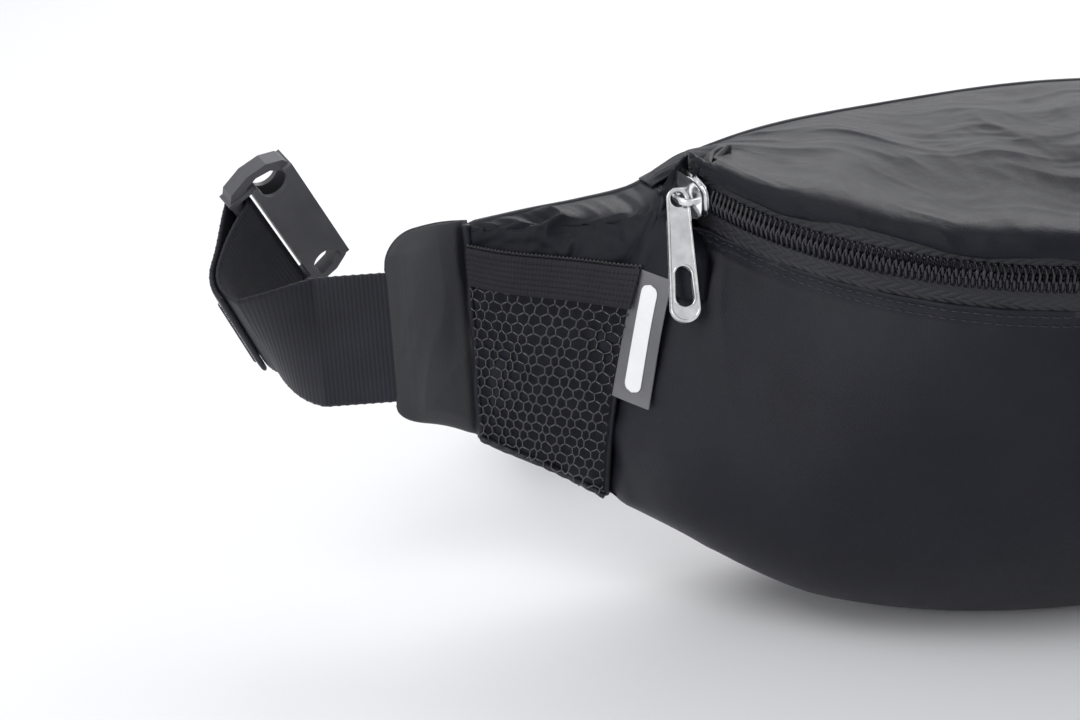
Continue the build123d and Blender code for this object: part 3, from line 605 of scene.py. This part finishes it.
def make_side_seam(side):
    """The corded seam between the front and the side, from the top of the back to the foot."""
    q = np.linspace(-0.98, 2.98, 400)
    path = body(seam_at(q), q)
    path[:, 0] *= side
    outward = np.array([side * 0.55, -0.83, 0.1])
    cord = resample(path + outward * 0.25, 1.6)[0]
    cord = cord + 0.12 * np.sin(np.arange(len(cord)) * 1.9)[:, None] * outward
    name = side_name(side)
    tubes(f"side_seam_{name}", [cord], 0.75, "shell_nylon", sides=8)


POCKET_YAW = math.radians(40)
POCKET_WIDTH = 44.0
NET_CELL = 3.3
HEM_HEIGHT = 10.0
HEM_LOOPS = 46


def pocket_surface(side, s, z, lift):
    """A point on the pocket: s from the side seam to the wing seam, at height z."""
    s, z = np.broadcast_arrays(np.asarray(s, float), np.asarray(z, float))
    q = np.linspace(0.0, 1.0, 121)
    inner = seam_x(z)
    x = inner + s * (WING_SEAM_X - 0.6 - inner)
    flat_x = x.ravel()
    pts = body(flat_x[:, None], q[None, :])
    y = np.array([np.interp(-zz, -row[:, 2], row[:, 1]) for zz, row in zip(z.ravel(), pts)])
    p = np.stack([flat_x, y, z.ravel()], -1).reshape(*z.shape, 3)
    outward = np.array([math.sin(POCKET_YAW), -math.cos(POCKET_YAW), 0.0])
    p = p + outward * np.asarray(lift)[..., None]
    p[..., 0] *= side
    return p


def pocket_bottom(s):
    """Lower edge of the pocket, along the bag's bottom seam."""
    return 31.5 + 13.0 * s**0.9


def pocket_top(s):
    """Lower edge of the elastic, which dips a little in the middle."""
    return 90.0 + 2.0 * s - 4.0 * s * (1 - s)


def hem_lift(s, base):
    """How far the elastic stands off the bag, which it bridges between its seams."""
    return base + 1.3 * np.sin(s * pi) + 0.5 * np.sin(s * 9 + 1)


def net_lift(s, z):
    wrinkle = crumple(s * 2.6 + z / 60, z / 17 - s * 1.2, 41, 2)
    return 1.6 + 1.1 * wrinkle * np.clip(s / 0.12, 0.1, 1) * np.clip((1 - s) / 0.12, 0.1, 1)


def make_pocket(side):
    """A real net of hexagon cells, gathered under a ribbed elastic hem."""
    name = side_name(side)
    a = NET_CELL / math.sqrt(3)
    edge_x = NET_CELL / 2
    paths = []
    rows = int(66 / (a * 1.5)) + 2
    cols = int(POCKET_WIDTH / NET_CELL) + 2
    for r in range(rows):
        for c in range(cols):
            cx = (c + 0.5 * (r % 2)) * NET_CELL
            cz = 28 + r * 1.5 * a
            corner = [(cx, cz + a), (cx + edge_x, cz + a / 2), (cx + edge_x, cz - a / 2), (cx, cz - a)]
            for p, q in zip(corner, corner[1:]):
                s = np.linspace(p[0], q[0], 4) / POCKET_WIDTH
                z = np.linspace(p[1], q[1], 4)
                mid_s = s.mean()
                if not 0.0 <= mid_s <= 1.0:
                    continue
                if not pocket_bottom(mid_s) + 0.8 <= z.mean() <= pocket_top(mid_s) + 1:
                    continue
                s = np.clip(s + 0.010 * np.sin(z / 2.3 + s * 40), 0.015, 1.0)
                paths.append(pocket_surface(side, s, z, net_lift(s, z)))
    net = tubes(f"pocket_net_{name}", paths, 0.23, "pocket_mesh", sides=5)
    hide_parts(f"mesh_pocket_{name}")

    s = np.linspace(0, 1, 420)
    across = np.linspace(0, 1, 70)
    z = pocket_top(s)[:, None] + across[None, :] * HEM_HEIGHT - 0.4
    ribs = 0.3 * np.sin(across * 2 * pi * 7)[None, :] + 0.06 * np.sin(s * 2 * pi * 48)[:, None]
    p = pocket_surface(side, s[:, None], z, hem_lift(s, 2.1)[:, None] + ribs)
    hem = fabric(f"pocket_hem_{name}", p, "elastic", 0.9, flip=side > 0)
    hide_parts(f"pocket_elastic_{name}")
    loops = []
    for t in np.arange(0.0, 1.0, 1 / HEM_LOOPS):
        k = np.linspace(t, t + 0.8 / HEM_LOOPS, 5)
        zz = pocket_top(k) + 9.8 + 0.7 * np.sin(np.linspace(0, pi, 5))
        loops.append(pocket_surface(side, k, zz, hem_lift(k, 2.3)))
    tubes(f"pocket_picot_{name}", loops, 0.26, "thread", sides=5)
    for i, drop in enumerate((0.3, 1.5)):
        line = pocket_surface(side, s, pocket_top(s) + drop, hem_lift(s, 2.3))
        outward = np.array([side * 0.64, -0.77, 0])
        stitches(f"pocket_stitch_{name}_{i}", line, outward, pitch=1.9, length=1.4)
    # The net's cut edge is caught in a narrow tape along the bottom seam.
    edge = pocket_surface(side, s, pocket_bottom(s) + 0.2, 1.2 + 0.2 * np.sin(s * 60))
    tubes(f"pocket_binding_{name}", [edge], 0.9, "zip_tape", sides=8)


def make_back():
    """The padded back, quilted in channels, with a bound edge."""
    columns, rows = 300, 120
    x = np.linspace(-WING_SEAM_X, WING_SEAM_X, columns)
    top = body(x, -1.0)[:, 2]
    foot = body(x, 3.0)[:, 2]
    t = np.linspace(0, 1, rows)
    z = foot[:, None] + (top - foot)[:, None] * t[None, :]
    xx = np.broadcast_to(x[:, None], z.shape)
    margin = np.minimum(z - foot[:, None], top[:, None] - z)
    margin = np.minimum(margin, (WING_SEAM_X - np.abs(xx)) * 0.8)
    edge = clamp(margin / 7)
    quilt = np.abs(np.sin(z / 24 * pi + 0.4)) ** 0.5
    puff = 2.6 * np.sqrt(edge) * (0.35 + 0.65 * quilt) + 0.25 * crumple(xx / 26, z / 22, 51, 2) * edge
    p = np.stack([xx, BACK_Y + 0.2 + puff, z], -1)
    obj = fabric("back_padding", p, "back_fabric", 1.4, flip=True)
    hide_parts("back_panel")
    edges = [np.stack([x, x * 0 + BACK_Y + 0.5, z], -1) for z in (top, foot)]
    rim = np.concatenate([edges[0], edges[1][::-1]])
    binding = tubes("back_binding", [resample(rim, 2.5)[0]], 1.15, "zip_tape", sides=8, closed=True)


def make_wing(side):
    """A folded sleeve of shell cloth, topstitched, which the webbing goes into."""
    name = side_name(side)
    inner, outer = WING_SEAM_X - 0.4, WING_OUTER_X
    s = np.linspace(0, 1, 90)
    t = np.linspace(0, 1, 130)
    x = inner + (outer - inner) * s
    corner = clamp((s - 0.62) / 0.38)
    top = 107.6 - 1.6 * s + 0.5 * np.sin(s * 5.0)
    top = top - 10.0 * (1 - np.sqrt(np.maximum(1 - corner**2.2, 0)))
    foot = 43.8 + 8.6 * s + 1.2 * np.sin(s * pi * 1.3)
    foot = foot + 4.0 * (1 - np.sqrt(np.maximum(1 - corner**3, 0)))
    z = foot[:, None] + (top - foot)[:, None] * t[None, :]
    xx = np.broadcast_to(x[:, None], z.shape)
    rim = np.minimum(np.minimum(z - foot[:, None], top[:, None] - z), (outer - xx))
    hollow = 0.55 + 0.45 * np.cos((s[:, None] - 0.42) * 2 * pi)
    thick = (1.1 + 1.5 * hollow) * np.sqrt(np.clip(rim / 5.0, 0.02, 1))
    folds = 0.75 * crumple(xx / 13, z / 46 + xx / 24, 61 + side, 2) * clamp(rim / 7)
    pinch = -0.9 * fade(xx - (inner + 1.5), 1.6)
    for sign, face in ((-1, "front"), (1, "back")):
        y = WING_Y + sign * (thick + folds + pinch * (sign < 0))
        p = np.stack([side * xx, y, z], -1)
        # Shell cloth painted lighter all over: painted light for the wing sides turned to the lamps.
        obj = fabric(f"wing_{face}_{name}", p, "wing_nylon_painted_light", 0.5, flip=(side * sign < 0))
        if sign < 0:
            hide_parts(f"wing_{name}")
    front = WING_Y - (thick + folds)
    col = int(np.argmin(np.abs(x - (outer - 3.0))))
    line = np.stack([side * xx[col], front[col], z[col]], -1)[6:-6]
    stitches(f"wing_stitch_{name}", line, np.array([0, -1.0, 0]))
    # Folded piping in the wing seam.
    z_line = np.linspace(foot[0] + 0.5, top[0] - 0.2, 80)
    wob = 0.35 * np.sin(z_line / 4.1)
    pipe = np.stack([side * (WING_SEAM_X + wob), z_line * 0 + 21.9, z_line], -1)
    tubes(f"wing_piping_{name}", [pipe], 1.25, "shell_nylon", sides=10)


# ---------------------------------------------------------------- the zip
def smoothed(points, window):
    """A line of points with its jogs averaged out."""
    ends = window // 2
    padded = np.concatenate([np.repeat(points[:1], ends, 0), points, np.repeat(points[-1:], ends, 0)])
    even = np.ones(window) / window
    return np.stack([np.convolve(padded[:, i], even, "valid") for i in range(3)], -1)


def make_tape(name, w0, w1):
    """One herringbone tape of the zip, between two heights."""
    angle = np.linspace(-ZIP_REACH, ZIP_REACH, 1400)
    w = np.linspace(w0, w1, 34)
    length = angle * ZIP_R
    chevron = np.abs(((w[None, :] / 1.8) % 2) - 1) * pi
    herring = 0.11 * np.sin(length[:, None] / 0.55 + 2.4 * chevron)
    p = zip_at(angle[:, None], 0.25 + herring, w[None, :])
    uv = np.stack(np.broadcast_arrays(length[:, None], w[None, :]), -1)
    obj = fabric(f"tape_{name}", p, "zip_tape", 0.6, uv=uv, flip=True)
    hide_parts(f"zip_tape_{name}")


def make_coil(name, side):
    """One row of the coil: a loop for each tooth, which hooks past the middle."""
    first = -ZIP_END_ANGLE * ZIP_R + 4.0
    shift = 0.5 * TOOTH if side > 0 else 0.0
    # A loop's height over the zip's plane, distance outside its arc, and place along it in teeth.
    shape = np.array([
        (3.35, 0.55, -0.1), (3.1, 1.45, -0.08), (1.6, 2.05, 0.0), (0.1, 2.15, 0.0), (-0.85, 1.75, 0.0),
        (-0.95, 1.15, 0.12), (-0.1, 0.75, 0.3), (1.6, 0.65, 0.42), (3.0, 0.65, 0.5), (3.5, 0.9, 0.62)])
    loops = [zip_at((at + shape[:, 2] * TOOTH) / ZIP_R, shape[:, 1], shape[:, 0] * side)
             for at in np.arange(first + shift, ZIP_REACH * ZIP_R - 1.0, TOOTH)]
    obj = tubes(f"coil_{name}", loops, 0.42, "zip_coil", sides=7)
    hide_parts(f"zip_coil_{name}")
    path = zip_at(np.linspace(-ZIP_REACH, ZIP_REACH, 400), 0.7, side * 3.9)
    outward = path - (ZIP_CENTRE + side * 3.9 * ZIP_NORMAL)
    stitches(f"coil_stitch_{name}", path, outward, pitch=1.6, length=1.25, radius=0.16)


def make_end_tab(side):
    """The folded strip of shell cloth over each end of the zip, down to the label's top."""
    name = side_name(side)
    rows, columns = 120, 34
    w = np.linspace(-23.0, 9.8, rows)
    q_line = np.linspace(-0.75, 0.75, 500)
    line = body(seam_at(q_line), q_line)
    outer = line[[int(np.argmin(np.abs(rise(line) - height))) for height in w]]
    inner = zip_at(np.full(rows, ZIP_END_ANGLE + 0.066), 2.9 - 0.05 * np.abs(w), w)
    over_front = np.interp(w, [-23.0, -8.0], [101.5, 98.5])
    low = body(over_front, level_q(over_front, w, 0.0, 0.75)) + np.array([-0.2, -1.0, 0.0])
    share = clamp((-w - 7.0) / 6.0)[:, None]
    inner = smoothed(inner * (1 - share) + low * share, 9)
    outer = smoothed(outer, 9)
    t = np.linspace(-0.3, 1, columns)
    p = outer[:, None] * (1 - t)[None, :, None] + inner[:, None] * t[None, :, None]
    out = np.array([0.55, -0.83, 0.05])
    tucked = -1.9 * clamp(-t / 0.3)[None, :] ** 2
    roll = 1.3 * np.sin(clamp(t) * pi)[None, :]
    folds = 0.4 * crumple(w[:, None] / 9, t[None, :] * 1.6, 71, 2)
    curl = -2.0 * clamp((t - 0.82) / 0.18)[None, :] ** 2
    p = p + out * (tucked + roll + folds + curl + 1.1)[..., None]
    p[..., 0] *= side
    obj = fabric(f"end_tab_{name}", p, "top_nylon", 0.6, flip=side > 0)
    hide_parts(f"zip_end_tab_{name}")


def outline_plate(name, outer, holes, thick, edge, matrix, body_name):
    """A flat cast metal plate with rounded edges, from an outline and holes in its own plane."""
    curve = bpy.data.curves.new(name, "CURVE")
    curve.dimensions = "2D"
    curve.fill_mode = "BOTH"
    curve.extrude = (thick / 2 - edge) * MM
    curve.bevel_depth = edge * MM
    curve.bevel_resolution = 3
    curve.offset = -edge * MM
    for ring in [outer] + holes:
        spline = curve.splines.new("POLY")
        spline.points.add(len(ring) - 1)
        for point, (x, y) in zip(spline.points, ring):
            point.co = (x * MM, y * MM, 0, 1)
        spline.use_cyclic_u = True
    temp = add(name, curve)
    mesh = bpy.data.meshes.new_from_object(temp.evaluated_get(bpy.context.evaluated_depsgraph_get()))
    bpy.data.objects.remove(temp)
    mesh.transform(matrix)
    mesh.materials.clear()
    mesh.materials.append(MATERIALS["zip_metal"])
    obj = add(name, mesh)
    for polygon in mesh.polygons:
        polygon.use_smooth = True
    split = obj.modifiers.new("edges", "EDGE_SPLIT")
    split.split_angle = math.radians(40)
    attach(obj, body_name)
    return obj


def axes_matrix(x, y, z, place):
    """The matrix that turns a piece's own axes along x, y and z, and puts it at place, in metres."""
    return Matrix([(x[i], y[i], z[i], place[i]) for i in range(3)] + [(0, 0, 0, 1)])


def ring_points(cx, cy, r, a0=0.0, a1=360.0, count=36):
    angles = np.radians(np.linspace(a0, a1, count, endpoint=(a1 - a0) < 359))
    return [(cx + r * math.cos(a), cy + r * math.sin(a)) for a in angles]


def slider_matrix():
    """Frame at the slider: X along the zip, Y outwards, Z the zip's normal."""
    place = zip_at(-SLIDER_ANGLE)
    outward = unit(place - ZIP_CENTRE)
    along = np.cross(outward, ZIP_NORMAL)
    if along[0] < 0:
        along = -along
    return axes_matrix(along, outward, ZIP_NORMAL, place * MM)


def make_slider():
    """Cast slider: two shield-shaped plates, side walls, and the arch that holds the pull."""
    place = slider_matrix()
    turn = Matrix(((1, 0, 0, 0), (0, 0, 1, 0), (0, 1, 0, 0), (0, 0, 0, 1)))
    shield = [(-5.9, -2.4), (-5.9, 2.4)] + ring_points(-3.6, 2.6, 2.3, 180, 90, 8)
    shield += [(0.5, 4.8), (2.6, 4.3), (4.6, 3.6), (5.6, 2.6), (5.9, 1.4)]
    shield += [(x, -y) for x, y in reversed(shield[2:])]
    outer_place = place @ Matrix.Translation((0, 3.85 * MM, 0)) @ turn
    plate = outline_plate("slider_plate", shield, [], 2.3, 0.95, outer_place, "slider")
    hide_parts("zip_slider")
    inner_place = place @ Matrix.Translation((0, -1.6 * MM, 0)) @ turn
    outline_plate("slider_inner_plate", shield, [], 1.2, 0.35, inner_place, "slider")
    rail = [(-4.2, 0.9), (3.6, 0.9), (3.9, 3.2), (-4.4, 3.2)]
    for side, where in ((-1, "lower"), (1, "upper")):
        stand = place @ Matrix.Translation((0, 0, side * 4.15 * MM))
        outline_plate(f"slider_wall_{where}", rail, [], 0.9, 0.2, stand, "slider")
    # The arch stands out of the plate, and its inside is the same curve, smaller.
    arch = [(-4.4 * math.cos(t), 4.0 + 4.6 * math.sin(t) ** 0.6) for t in np.linspace(0, pi, 24)]
    inside = [(x * 0.7, 4.0 + (y - 4.0) * 0.71) for x, y in reversed(arch)]
    bail = outline_plate("slider_bail", arch + inside, [], 1.8, 0.45, place, "slider")
    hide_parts("zip_bail")


def tapered(top_x, top_r, foot_x, foot_r):
    """The pull's outline: a small round end at top_x and a wide one at foot_x."""
    return ring_points(top_x, 0, top_r, 95, 265, 18) + ring_points(foot_x, 0, foot_r, -86, 86, 22)


def make_pull():
    """The pull: a tapered plate with a raised rim, an eye for the arch and a long hole."""
    joint = next(j for j in frame["joints"] if j["name"] == "pull_swing")
    down = Vector((-0.05, -0.46, -0.885)).normalized()
    face = down.cross(Vector((1.0, 0.12, 0.0))).normalized()
    side = face.cross(down).normalized()
    matrix = axes_matrix(down, side, face, joint["pos_m"])
    eye = ring_points(0.1, 0, 2.0)
    hole = ring_points(20.0, 0, 2.2, 90, 270, 14) + ring_points(26.0, 0, 2.5, -90, 90, 16)
    whole = tapered(0, 3.0, 28.6, 4.1)
    plate = outline_plate("pull_plate", whole, [eye, hole], 1.2, 0.4, matrix, "pull")
    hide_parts("zip_pull")
    rim_out = ring_points(20.0, 0, 2.8, 90, 270, 16) + ring_points(26.0, 0, 3.1, -90, 90, 18)
    # The back edge closes below the eye, clear of the arch when the pull is swung up.
    for sign, where, top_out, top_in in ((1, "front", (0, 3.0), (0.4, 2.35)),
                                         (-1, "back", (6.0, 3.2), (6.2, 2.5))):
        lift = matrix @ Matrix.Translation((0, 0, sign * 0.62 * MM))
        outline_plate(f"pull_rim_{where}", rim_out, [hole], 0.5, 0.2, lift, "pull")
        edge_out, edge_in = tapered(*top_out, 28.6, 4.1), tapered(*top_in, 28.4, 3.45)
        outline_plate(f"pull_edge_{where}", edge_out, [edge_in], 0.5, 0.2, lift, "pull")


# ---------------------------------------------------------------- webbing
LEFT_ROUTE = [(20.0, 0.0, 0.0), (18.0, -35.5, -39.0), (16.0, -76.0, -1.5), (18.7, -20.5, -5.5)]
DROP = math.radians(6.8)
SCREW = -math.tan(DROP)
RIGHT_ROUTE = [(20.0, 0.0, 0.0), (150.0, 180.0, 180.0 * SCREW), (270.0, 0.0, 0.0)]
LEVEL_ROUTE = [(30.0, 0.0, 0.0), (76.0, -180.0, 0.0), (118.0, 0.0, 0.0)]
WEB_WIDTH = 38.0
WEB_THICK = 1.6
WEB_RIB = 1.2
WARP_PITCH = 1.55
LOOP_R = 3.6                  # of the webbing's middle, round a buckle's bar
TAIL_GAP = 2.0
LEFT_TAIL = 30.0
LEFT_TAIL_GAP = 1.9
TACK_PITCH = 0.9


def spin(v, axis, angle):
    """v turned about an axis."""
    length = np.linalg.norm(axis)
    if length < 1e-12 or abs(angle) < 1e-12:
        return v
    k = axis / length
    return v * math.cos(angle) + np.cross(k, v) * math.sin(angle) + k * (k @ v) * (1 - math.cos(angle))


def route(point, along, across, stretches, step=1.0):
    """Stations along a flat strap: points, directions along it and across it."""
    out = [(point, along, across)]
    for length, bend, twist in stretches:
        count = max(2, round(length / step))
        for _ in range(count):
            point, along, across = out[-1]
            axis = across * math.radians(bend / count) + along * math.radians(twist / count)
            total = np.linalg.norm(axis)
            ahead = spin(along, axis, total / 2)
            point = point + ahead * (length / count)
            out.append((point, spin(along, axis, total), spin(across, axis, total)))
    return out


def round_bar(end, side, steps=14):
    """Stations of the half turn round a buckle's bar, and the side that it goes round on."""
    point, along, across = end
    face = np.cross(along, across) * side
    bar = point + face * LOOP_R
    out = []
    for i in range(1, steps + 1):
        a = pi * i / steps
        out.append((bar + face * (-LOOP_R * math.cos(a)) + along * (LOOP_R * math.sin(a)),
                    along * math.cos(a) + face * math.sin(a), across))
    return face, out


def ribbon(name, stations):
    """Woven webbing: ribs across it, warp columns along it, and thick selvedges."""
    points, along, across = (np.array(part) for part in zip(*stations))
    at = np.concatenate([[0], np.cumsum(np.linalg.norm(np.diff(points, axis=0), axis=1))])
    fine = np.linspace(0, at[-1], int(at[-1] / 0.3))
    points, along, across = [np.stack([np.interp(fine, at, a[:, i]) for i in range(3)], -1)
                             for a in (points, along, across)]
    across = unit(across)
    face = unit(np.cross(along, across))
    c = np.linspace(-1, 1, 56)
    column = (c * WEB_WIDTH / 2) / WARP_PITCH
    phase = fine[:, None] * 2 * pi / (2 * WEB_RIB)
    over = np.sin(phase + np.floor(column)[None, :] % 2 * pi)
    domed = 0.65 + 0.35 * np.cos((column - np.floor(column) - 0.5) * pi)
    ribs = 0.17 * np.abs(over) * domed[None, :]
    selvedge = 0.10 * np.exp(-((1 - np.abs(c)) * WEB_WIDTH / 2 / 0.9)**2)
    half_width = WEB_WIDTH / 2 + 0.10 * np.sin(phase) * 0.8
    flat = (WEB_THICK / 2 - 0.1) * np.sqrt(np.clip(1 - np.abs(c)**26, 0.06, 1))
    h = flat[None, :] + ribs + selvedge[None, :]
    base = points[:, None] + across[:, None] * (c[None, :, None] * half_width[..., None])
    upper = base + face[:, None] * h[..., None]
    lower = base - face[:, None] * h[..., None]
    ring = np.concatenate([upper, lower[:, ::-1]], 1)
    n, m = ring.shape[:2]
    faces = grid_faces(n, m).tolist()
    faces += [[i * m + m - 1, (i + 1) * m + m - 1, (i + 1) * m, i * m] for i in range(n - 1)]
    faces.append(list(range(m)))
    faces.append([(n - 1) * m + j for j in reversed(range(m))])
    uv_along = np.broadcast_to(fine[:, None], (n, m))
    uv_across = np.broadcast_to(np.concatenate([c, c[::-1]]) * WEB_WIDTH / 2, (n, m))
    uv = np.stack([uv_across, uv_along], -1)
    obj = make_mesh(name, ring.reshape(-1, 3), faces, "webbing", uv.reshape(-1, 2))
    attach(obj, "bag")
    return obj


def tack(name, point, along, across, face, width, length):
    """A dense zigzag bartack across the webbing."""
    threads = []
    for i in range(int(width / TACK_PITCH)):
        a = -width / 2 + i * TACK_PITCH
        start = point + across * a - along * length / 2 + face * 0.05
        end = point + across * (a + TACK_PITCH / 2) + along * length / 2 + face * 0.05
        threads.append(np.array([start, (start + end) / 2 + face * 0.22, end]))
    return tubes(name, threads, 0.2, "thread", sides=5)


def make_left_webbing():
    """The short strap: out of the wing, round the female buckle's bar, and sewn back on itself."""
    yaw = math.radians(4.5)
    start = STRAP_START * [-1, 1, 1]
    along = np.array([-math.cos(yaw), math.sin(yaw), 0.0])
    lead = [(start - along * STRAP_IN_WING, along, UP)]
    run = route(start, along, UP, LEFT_ROUTE)
    _, loop = round_bar(run[-1], -1)
    # The tail closes on the strap from the loop's width, over the first part of its length.
    tail = []
    travelled = 0.0
    for here, before in zip(reversed(run[:-1]), reversed(run)):
        travelled += np.linalg.norm(before[0] - here[0])
        t = min(1.0, travelled / (LEFT_TAIL * 0.6))
        normal = -np.cross(here[1], here[2])
        offset = 2 * LOOP_R + (LEFT_TAIL_GAP - 2 * LOOP_R) * math.sin(t * pi / 2)
        tail.append((here[0] + normal * offset, -here[1], here[2]))
        if travelled >= LEFT_TAIL:
            break
    obj = ribbon("strap_left", lead + run + loop + tail)
    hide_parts("webbing_left")
    point, along, across = tail[-3]
    normal = np.cross(along, across)
    piece = tack("strap_tack_left", point + normal, along, across, normal, 30.0, 2.2)
    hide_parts("webbing_left_tack")


def make_right_webbing():
    """The long strap: out of the wing, behind the bag and back to the male buckle."""
    low, high = [np.array(v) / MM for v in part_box("buckle_male")]
    along = np.array([math.cos(DROP), 0, -math.sin(DROP)])
    across = np.array([math.sin(DROP), 0, math.cos(DROP)])
    lead = [(STRAP_START - along * STRAP_IN_WING, along, across)]
    down = route(STRAP_START, along, across, RIGHT_ROUTE, 3.0)
    point, ahead, _ = down[-1]
    ahead = unit(ahead * [1, 1, 0])
    level = point + ahead * 14
    level[2] = (low[2] + high[2]) / 2
    run = route(level, ahead, UP, LEVEL_ROUTE, 3.0)
    face, loop = round_bar(run[-1], 1)
    end, along, across = run[-1]
    tail = [(end + face * TAIL_GAP * 1.3 - along * d, -along, across) for d in (22.0, 50.0, 104.0)]
    obj = ribbon("strap_right", lead + down[:-3] + run[1:] + loop + tail)
    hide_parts("webbing_right")


def dress_cad():
    """Finishes the CAD pieces that keep their own shape."""
    finishes = {"buckle_female": "buckle_plastic", "buckle_male": "buckle_plastic",
                "buckle_male_arm_upper": "buckle_plastic", "buckle_male_arm_lower": "buckle_plastic",
                "strap_keeper": "elastic"}
    for name, material in finishes.items():
        obj = frame["nodes"][name]
        obj.data.materials.clear()
        obj.data.materials.append(MATERIALS[material])
        soften = obj.modifiers.new("soft edges", "BEVEL")
        soften.width = 0.55 * MM
        soften.segments = 3
        soften.limit_method = "ANGLE"
        soften.angle_limit = math.radians(35)
        soften.harden_normals = True


def make_label():
    """A satin label with a plain white woven strip, caught in the left side seam."""
    width, length = 12.6, 36.0
    top_left = np.array([-117.6, -6.2, 99.8])
    down = unit(np.array([-8.0, -1.0, -35.0]))
    across = np.array([10.1, -8.6, 0.0])
    across = unit(across - down * (across @ down))
    face = np.cross(down, across)
    if face[1] > 0:
        face = -face

    def at(aa, dd, lift):
        share = aa / width
        bend = 0.9 * share**2 + 0.5 * np.sin(dd / length * pi) * share
        bend = bend + 0.35 * np.sin(dd / 7.0) * share - 1.2 * (1 - share)**3
        return top_left + aa[..., None] * across + dd[..., None] * down + (bend + lift)[..., None] * face

    aa, dd = np.meshgrid(np.linspace(0, width, 60), np.linspace(0, length, 140), indexing="ij")
    obj = fabric("label_cloth", at(aa, dd, 0.4), "label_satin", 0.3, flip=True)
    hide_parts("label")
    t = np.linspace(0, 1, 50)[:, None]
    r = np.linspace(-1, 1, 30)[None, :]
    round_end = np.sqrt(clamp(1 - clamp((np.abs(t - 0.5) - 0.42) / 0.08)**2))
    aa, dd = np.broadcast_arrays(6.4 + r * 2.7 * np.maximum(round_end, 0.02), 3.0 + t * 30.0)
    patch = fabric("label_strip", at(aa, dd, 0.52), "label_patch", 0.1, flip=True)
    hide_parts("label_patch")


# ---------------------------------------------------------------- studio
def make_studio():
    """A pale floor, a pale sky and three soft lamps."""
    put(new_material("studio_floor")[1], Base_Color=(0.82, 0.82, 0.835, 1), Roughness=0.55)
    bpy.ops.mesh.primitive_plane_add(size=12.0, location=(0, 3.0, 0))
    floor = bpy.context.object
    floor.name = "floor"
    floor.data.materials.append(MATERIALS["studio_floor"])
    world = bpy.data.worlds.new("studio")
    bpy.context.scene.world = world
    world.use_nodes = True
    put(world.node_tree.nodes["Background"], Color=(0.97, 0.98, 1.0, 1), Strength=0.74)
    bpy.context.scene.view_settings.view_transform = "Standard"
    light("key", (-0.9, -0.35, 1.35), (-0.05, 0, 0.08), 0.9, 7.5)
    light("back", (0.35, 1.2, 1.1), (-0.05, 0, 0.1), 1.2, 12.0)
    light("fill", (-1.15, -0.75, 0.32), (-0.1, 0, 0.07), 0.8, 4.5)


def light(name, place, target, size, power):
    data = bpy.data.lights.new(name, "AREA")
    data.size = size
    data.energy = power
    obj = add(name, data)
    obj.location = place
    obj.rotation_euler = (Vector(target) - Vector(place)).to_track_quat("-Z", "Y").to_euler()


def make_camera():
    """The photograph's viewpoint: a little left of straight on, and above, rolled slightly."""
    azimuth, elevation, roll = math.radians(-6.53), math.radians(20.0), math.radians(3.47)
    aim = np.array([-143.65, -3.9, 75.65]) * MM
    level = math.cos(elevation)
    back = np.array([math.sin(azimuth) * level, -math.cos(azimuth) * level, math.sin(elevation)])
    distance = 0.5561
    right = unit(np.cross(-back, UP))
    up = np.cross(right, -back)
    x = math.cos(roll) * right - math.sin(roll) * up
    y = math.sin(roll) * right + math.cos(roll) * up
    data = bpy.data.cameras.new("camera")
    data.lens = 69.28
    data.sensor_width = 36.0
    camera = add("camera", data)
    camera.matrix_world = axes_matrix(x, y, back, aim + back * distance)
    bpy.context.scene.camera = camera


def main():
    make_camera()
    make_materials()
    make_left_webbing()
    make_right_webbing()
    make_front()
    make_top()
    for side in (-1, 1):
        make_side(side)
        make_side_seam(side)
        make_pocket(side)
        make_wing(side)
        make_end_tab(side)
    make_back()
    make_tape("upper", 0.5, 9.6)
    make_tape("lower", -10.5, -0.5)
    make_coil("upper", 1)
    make_coil("lower", -1)
    make_slider()
    make_pull()
    make_label()
    dress_cad()
    make_studio()


main()
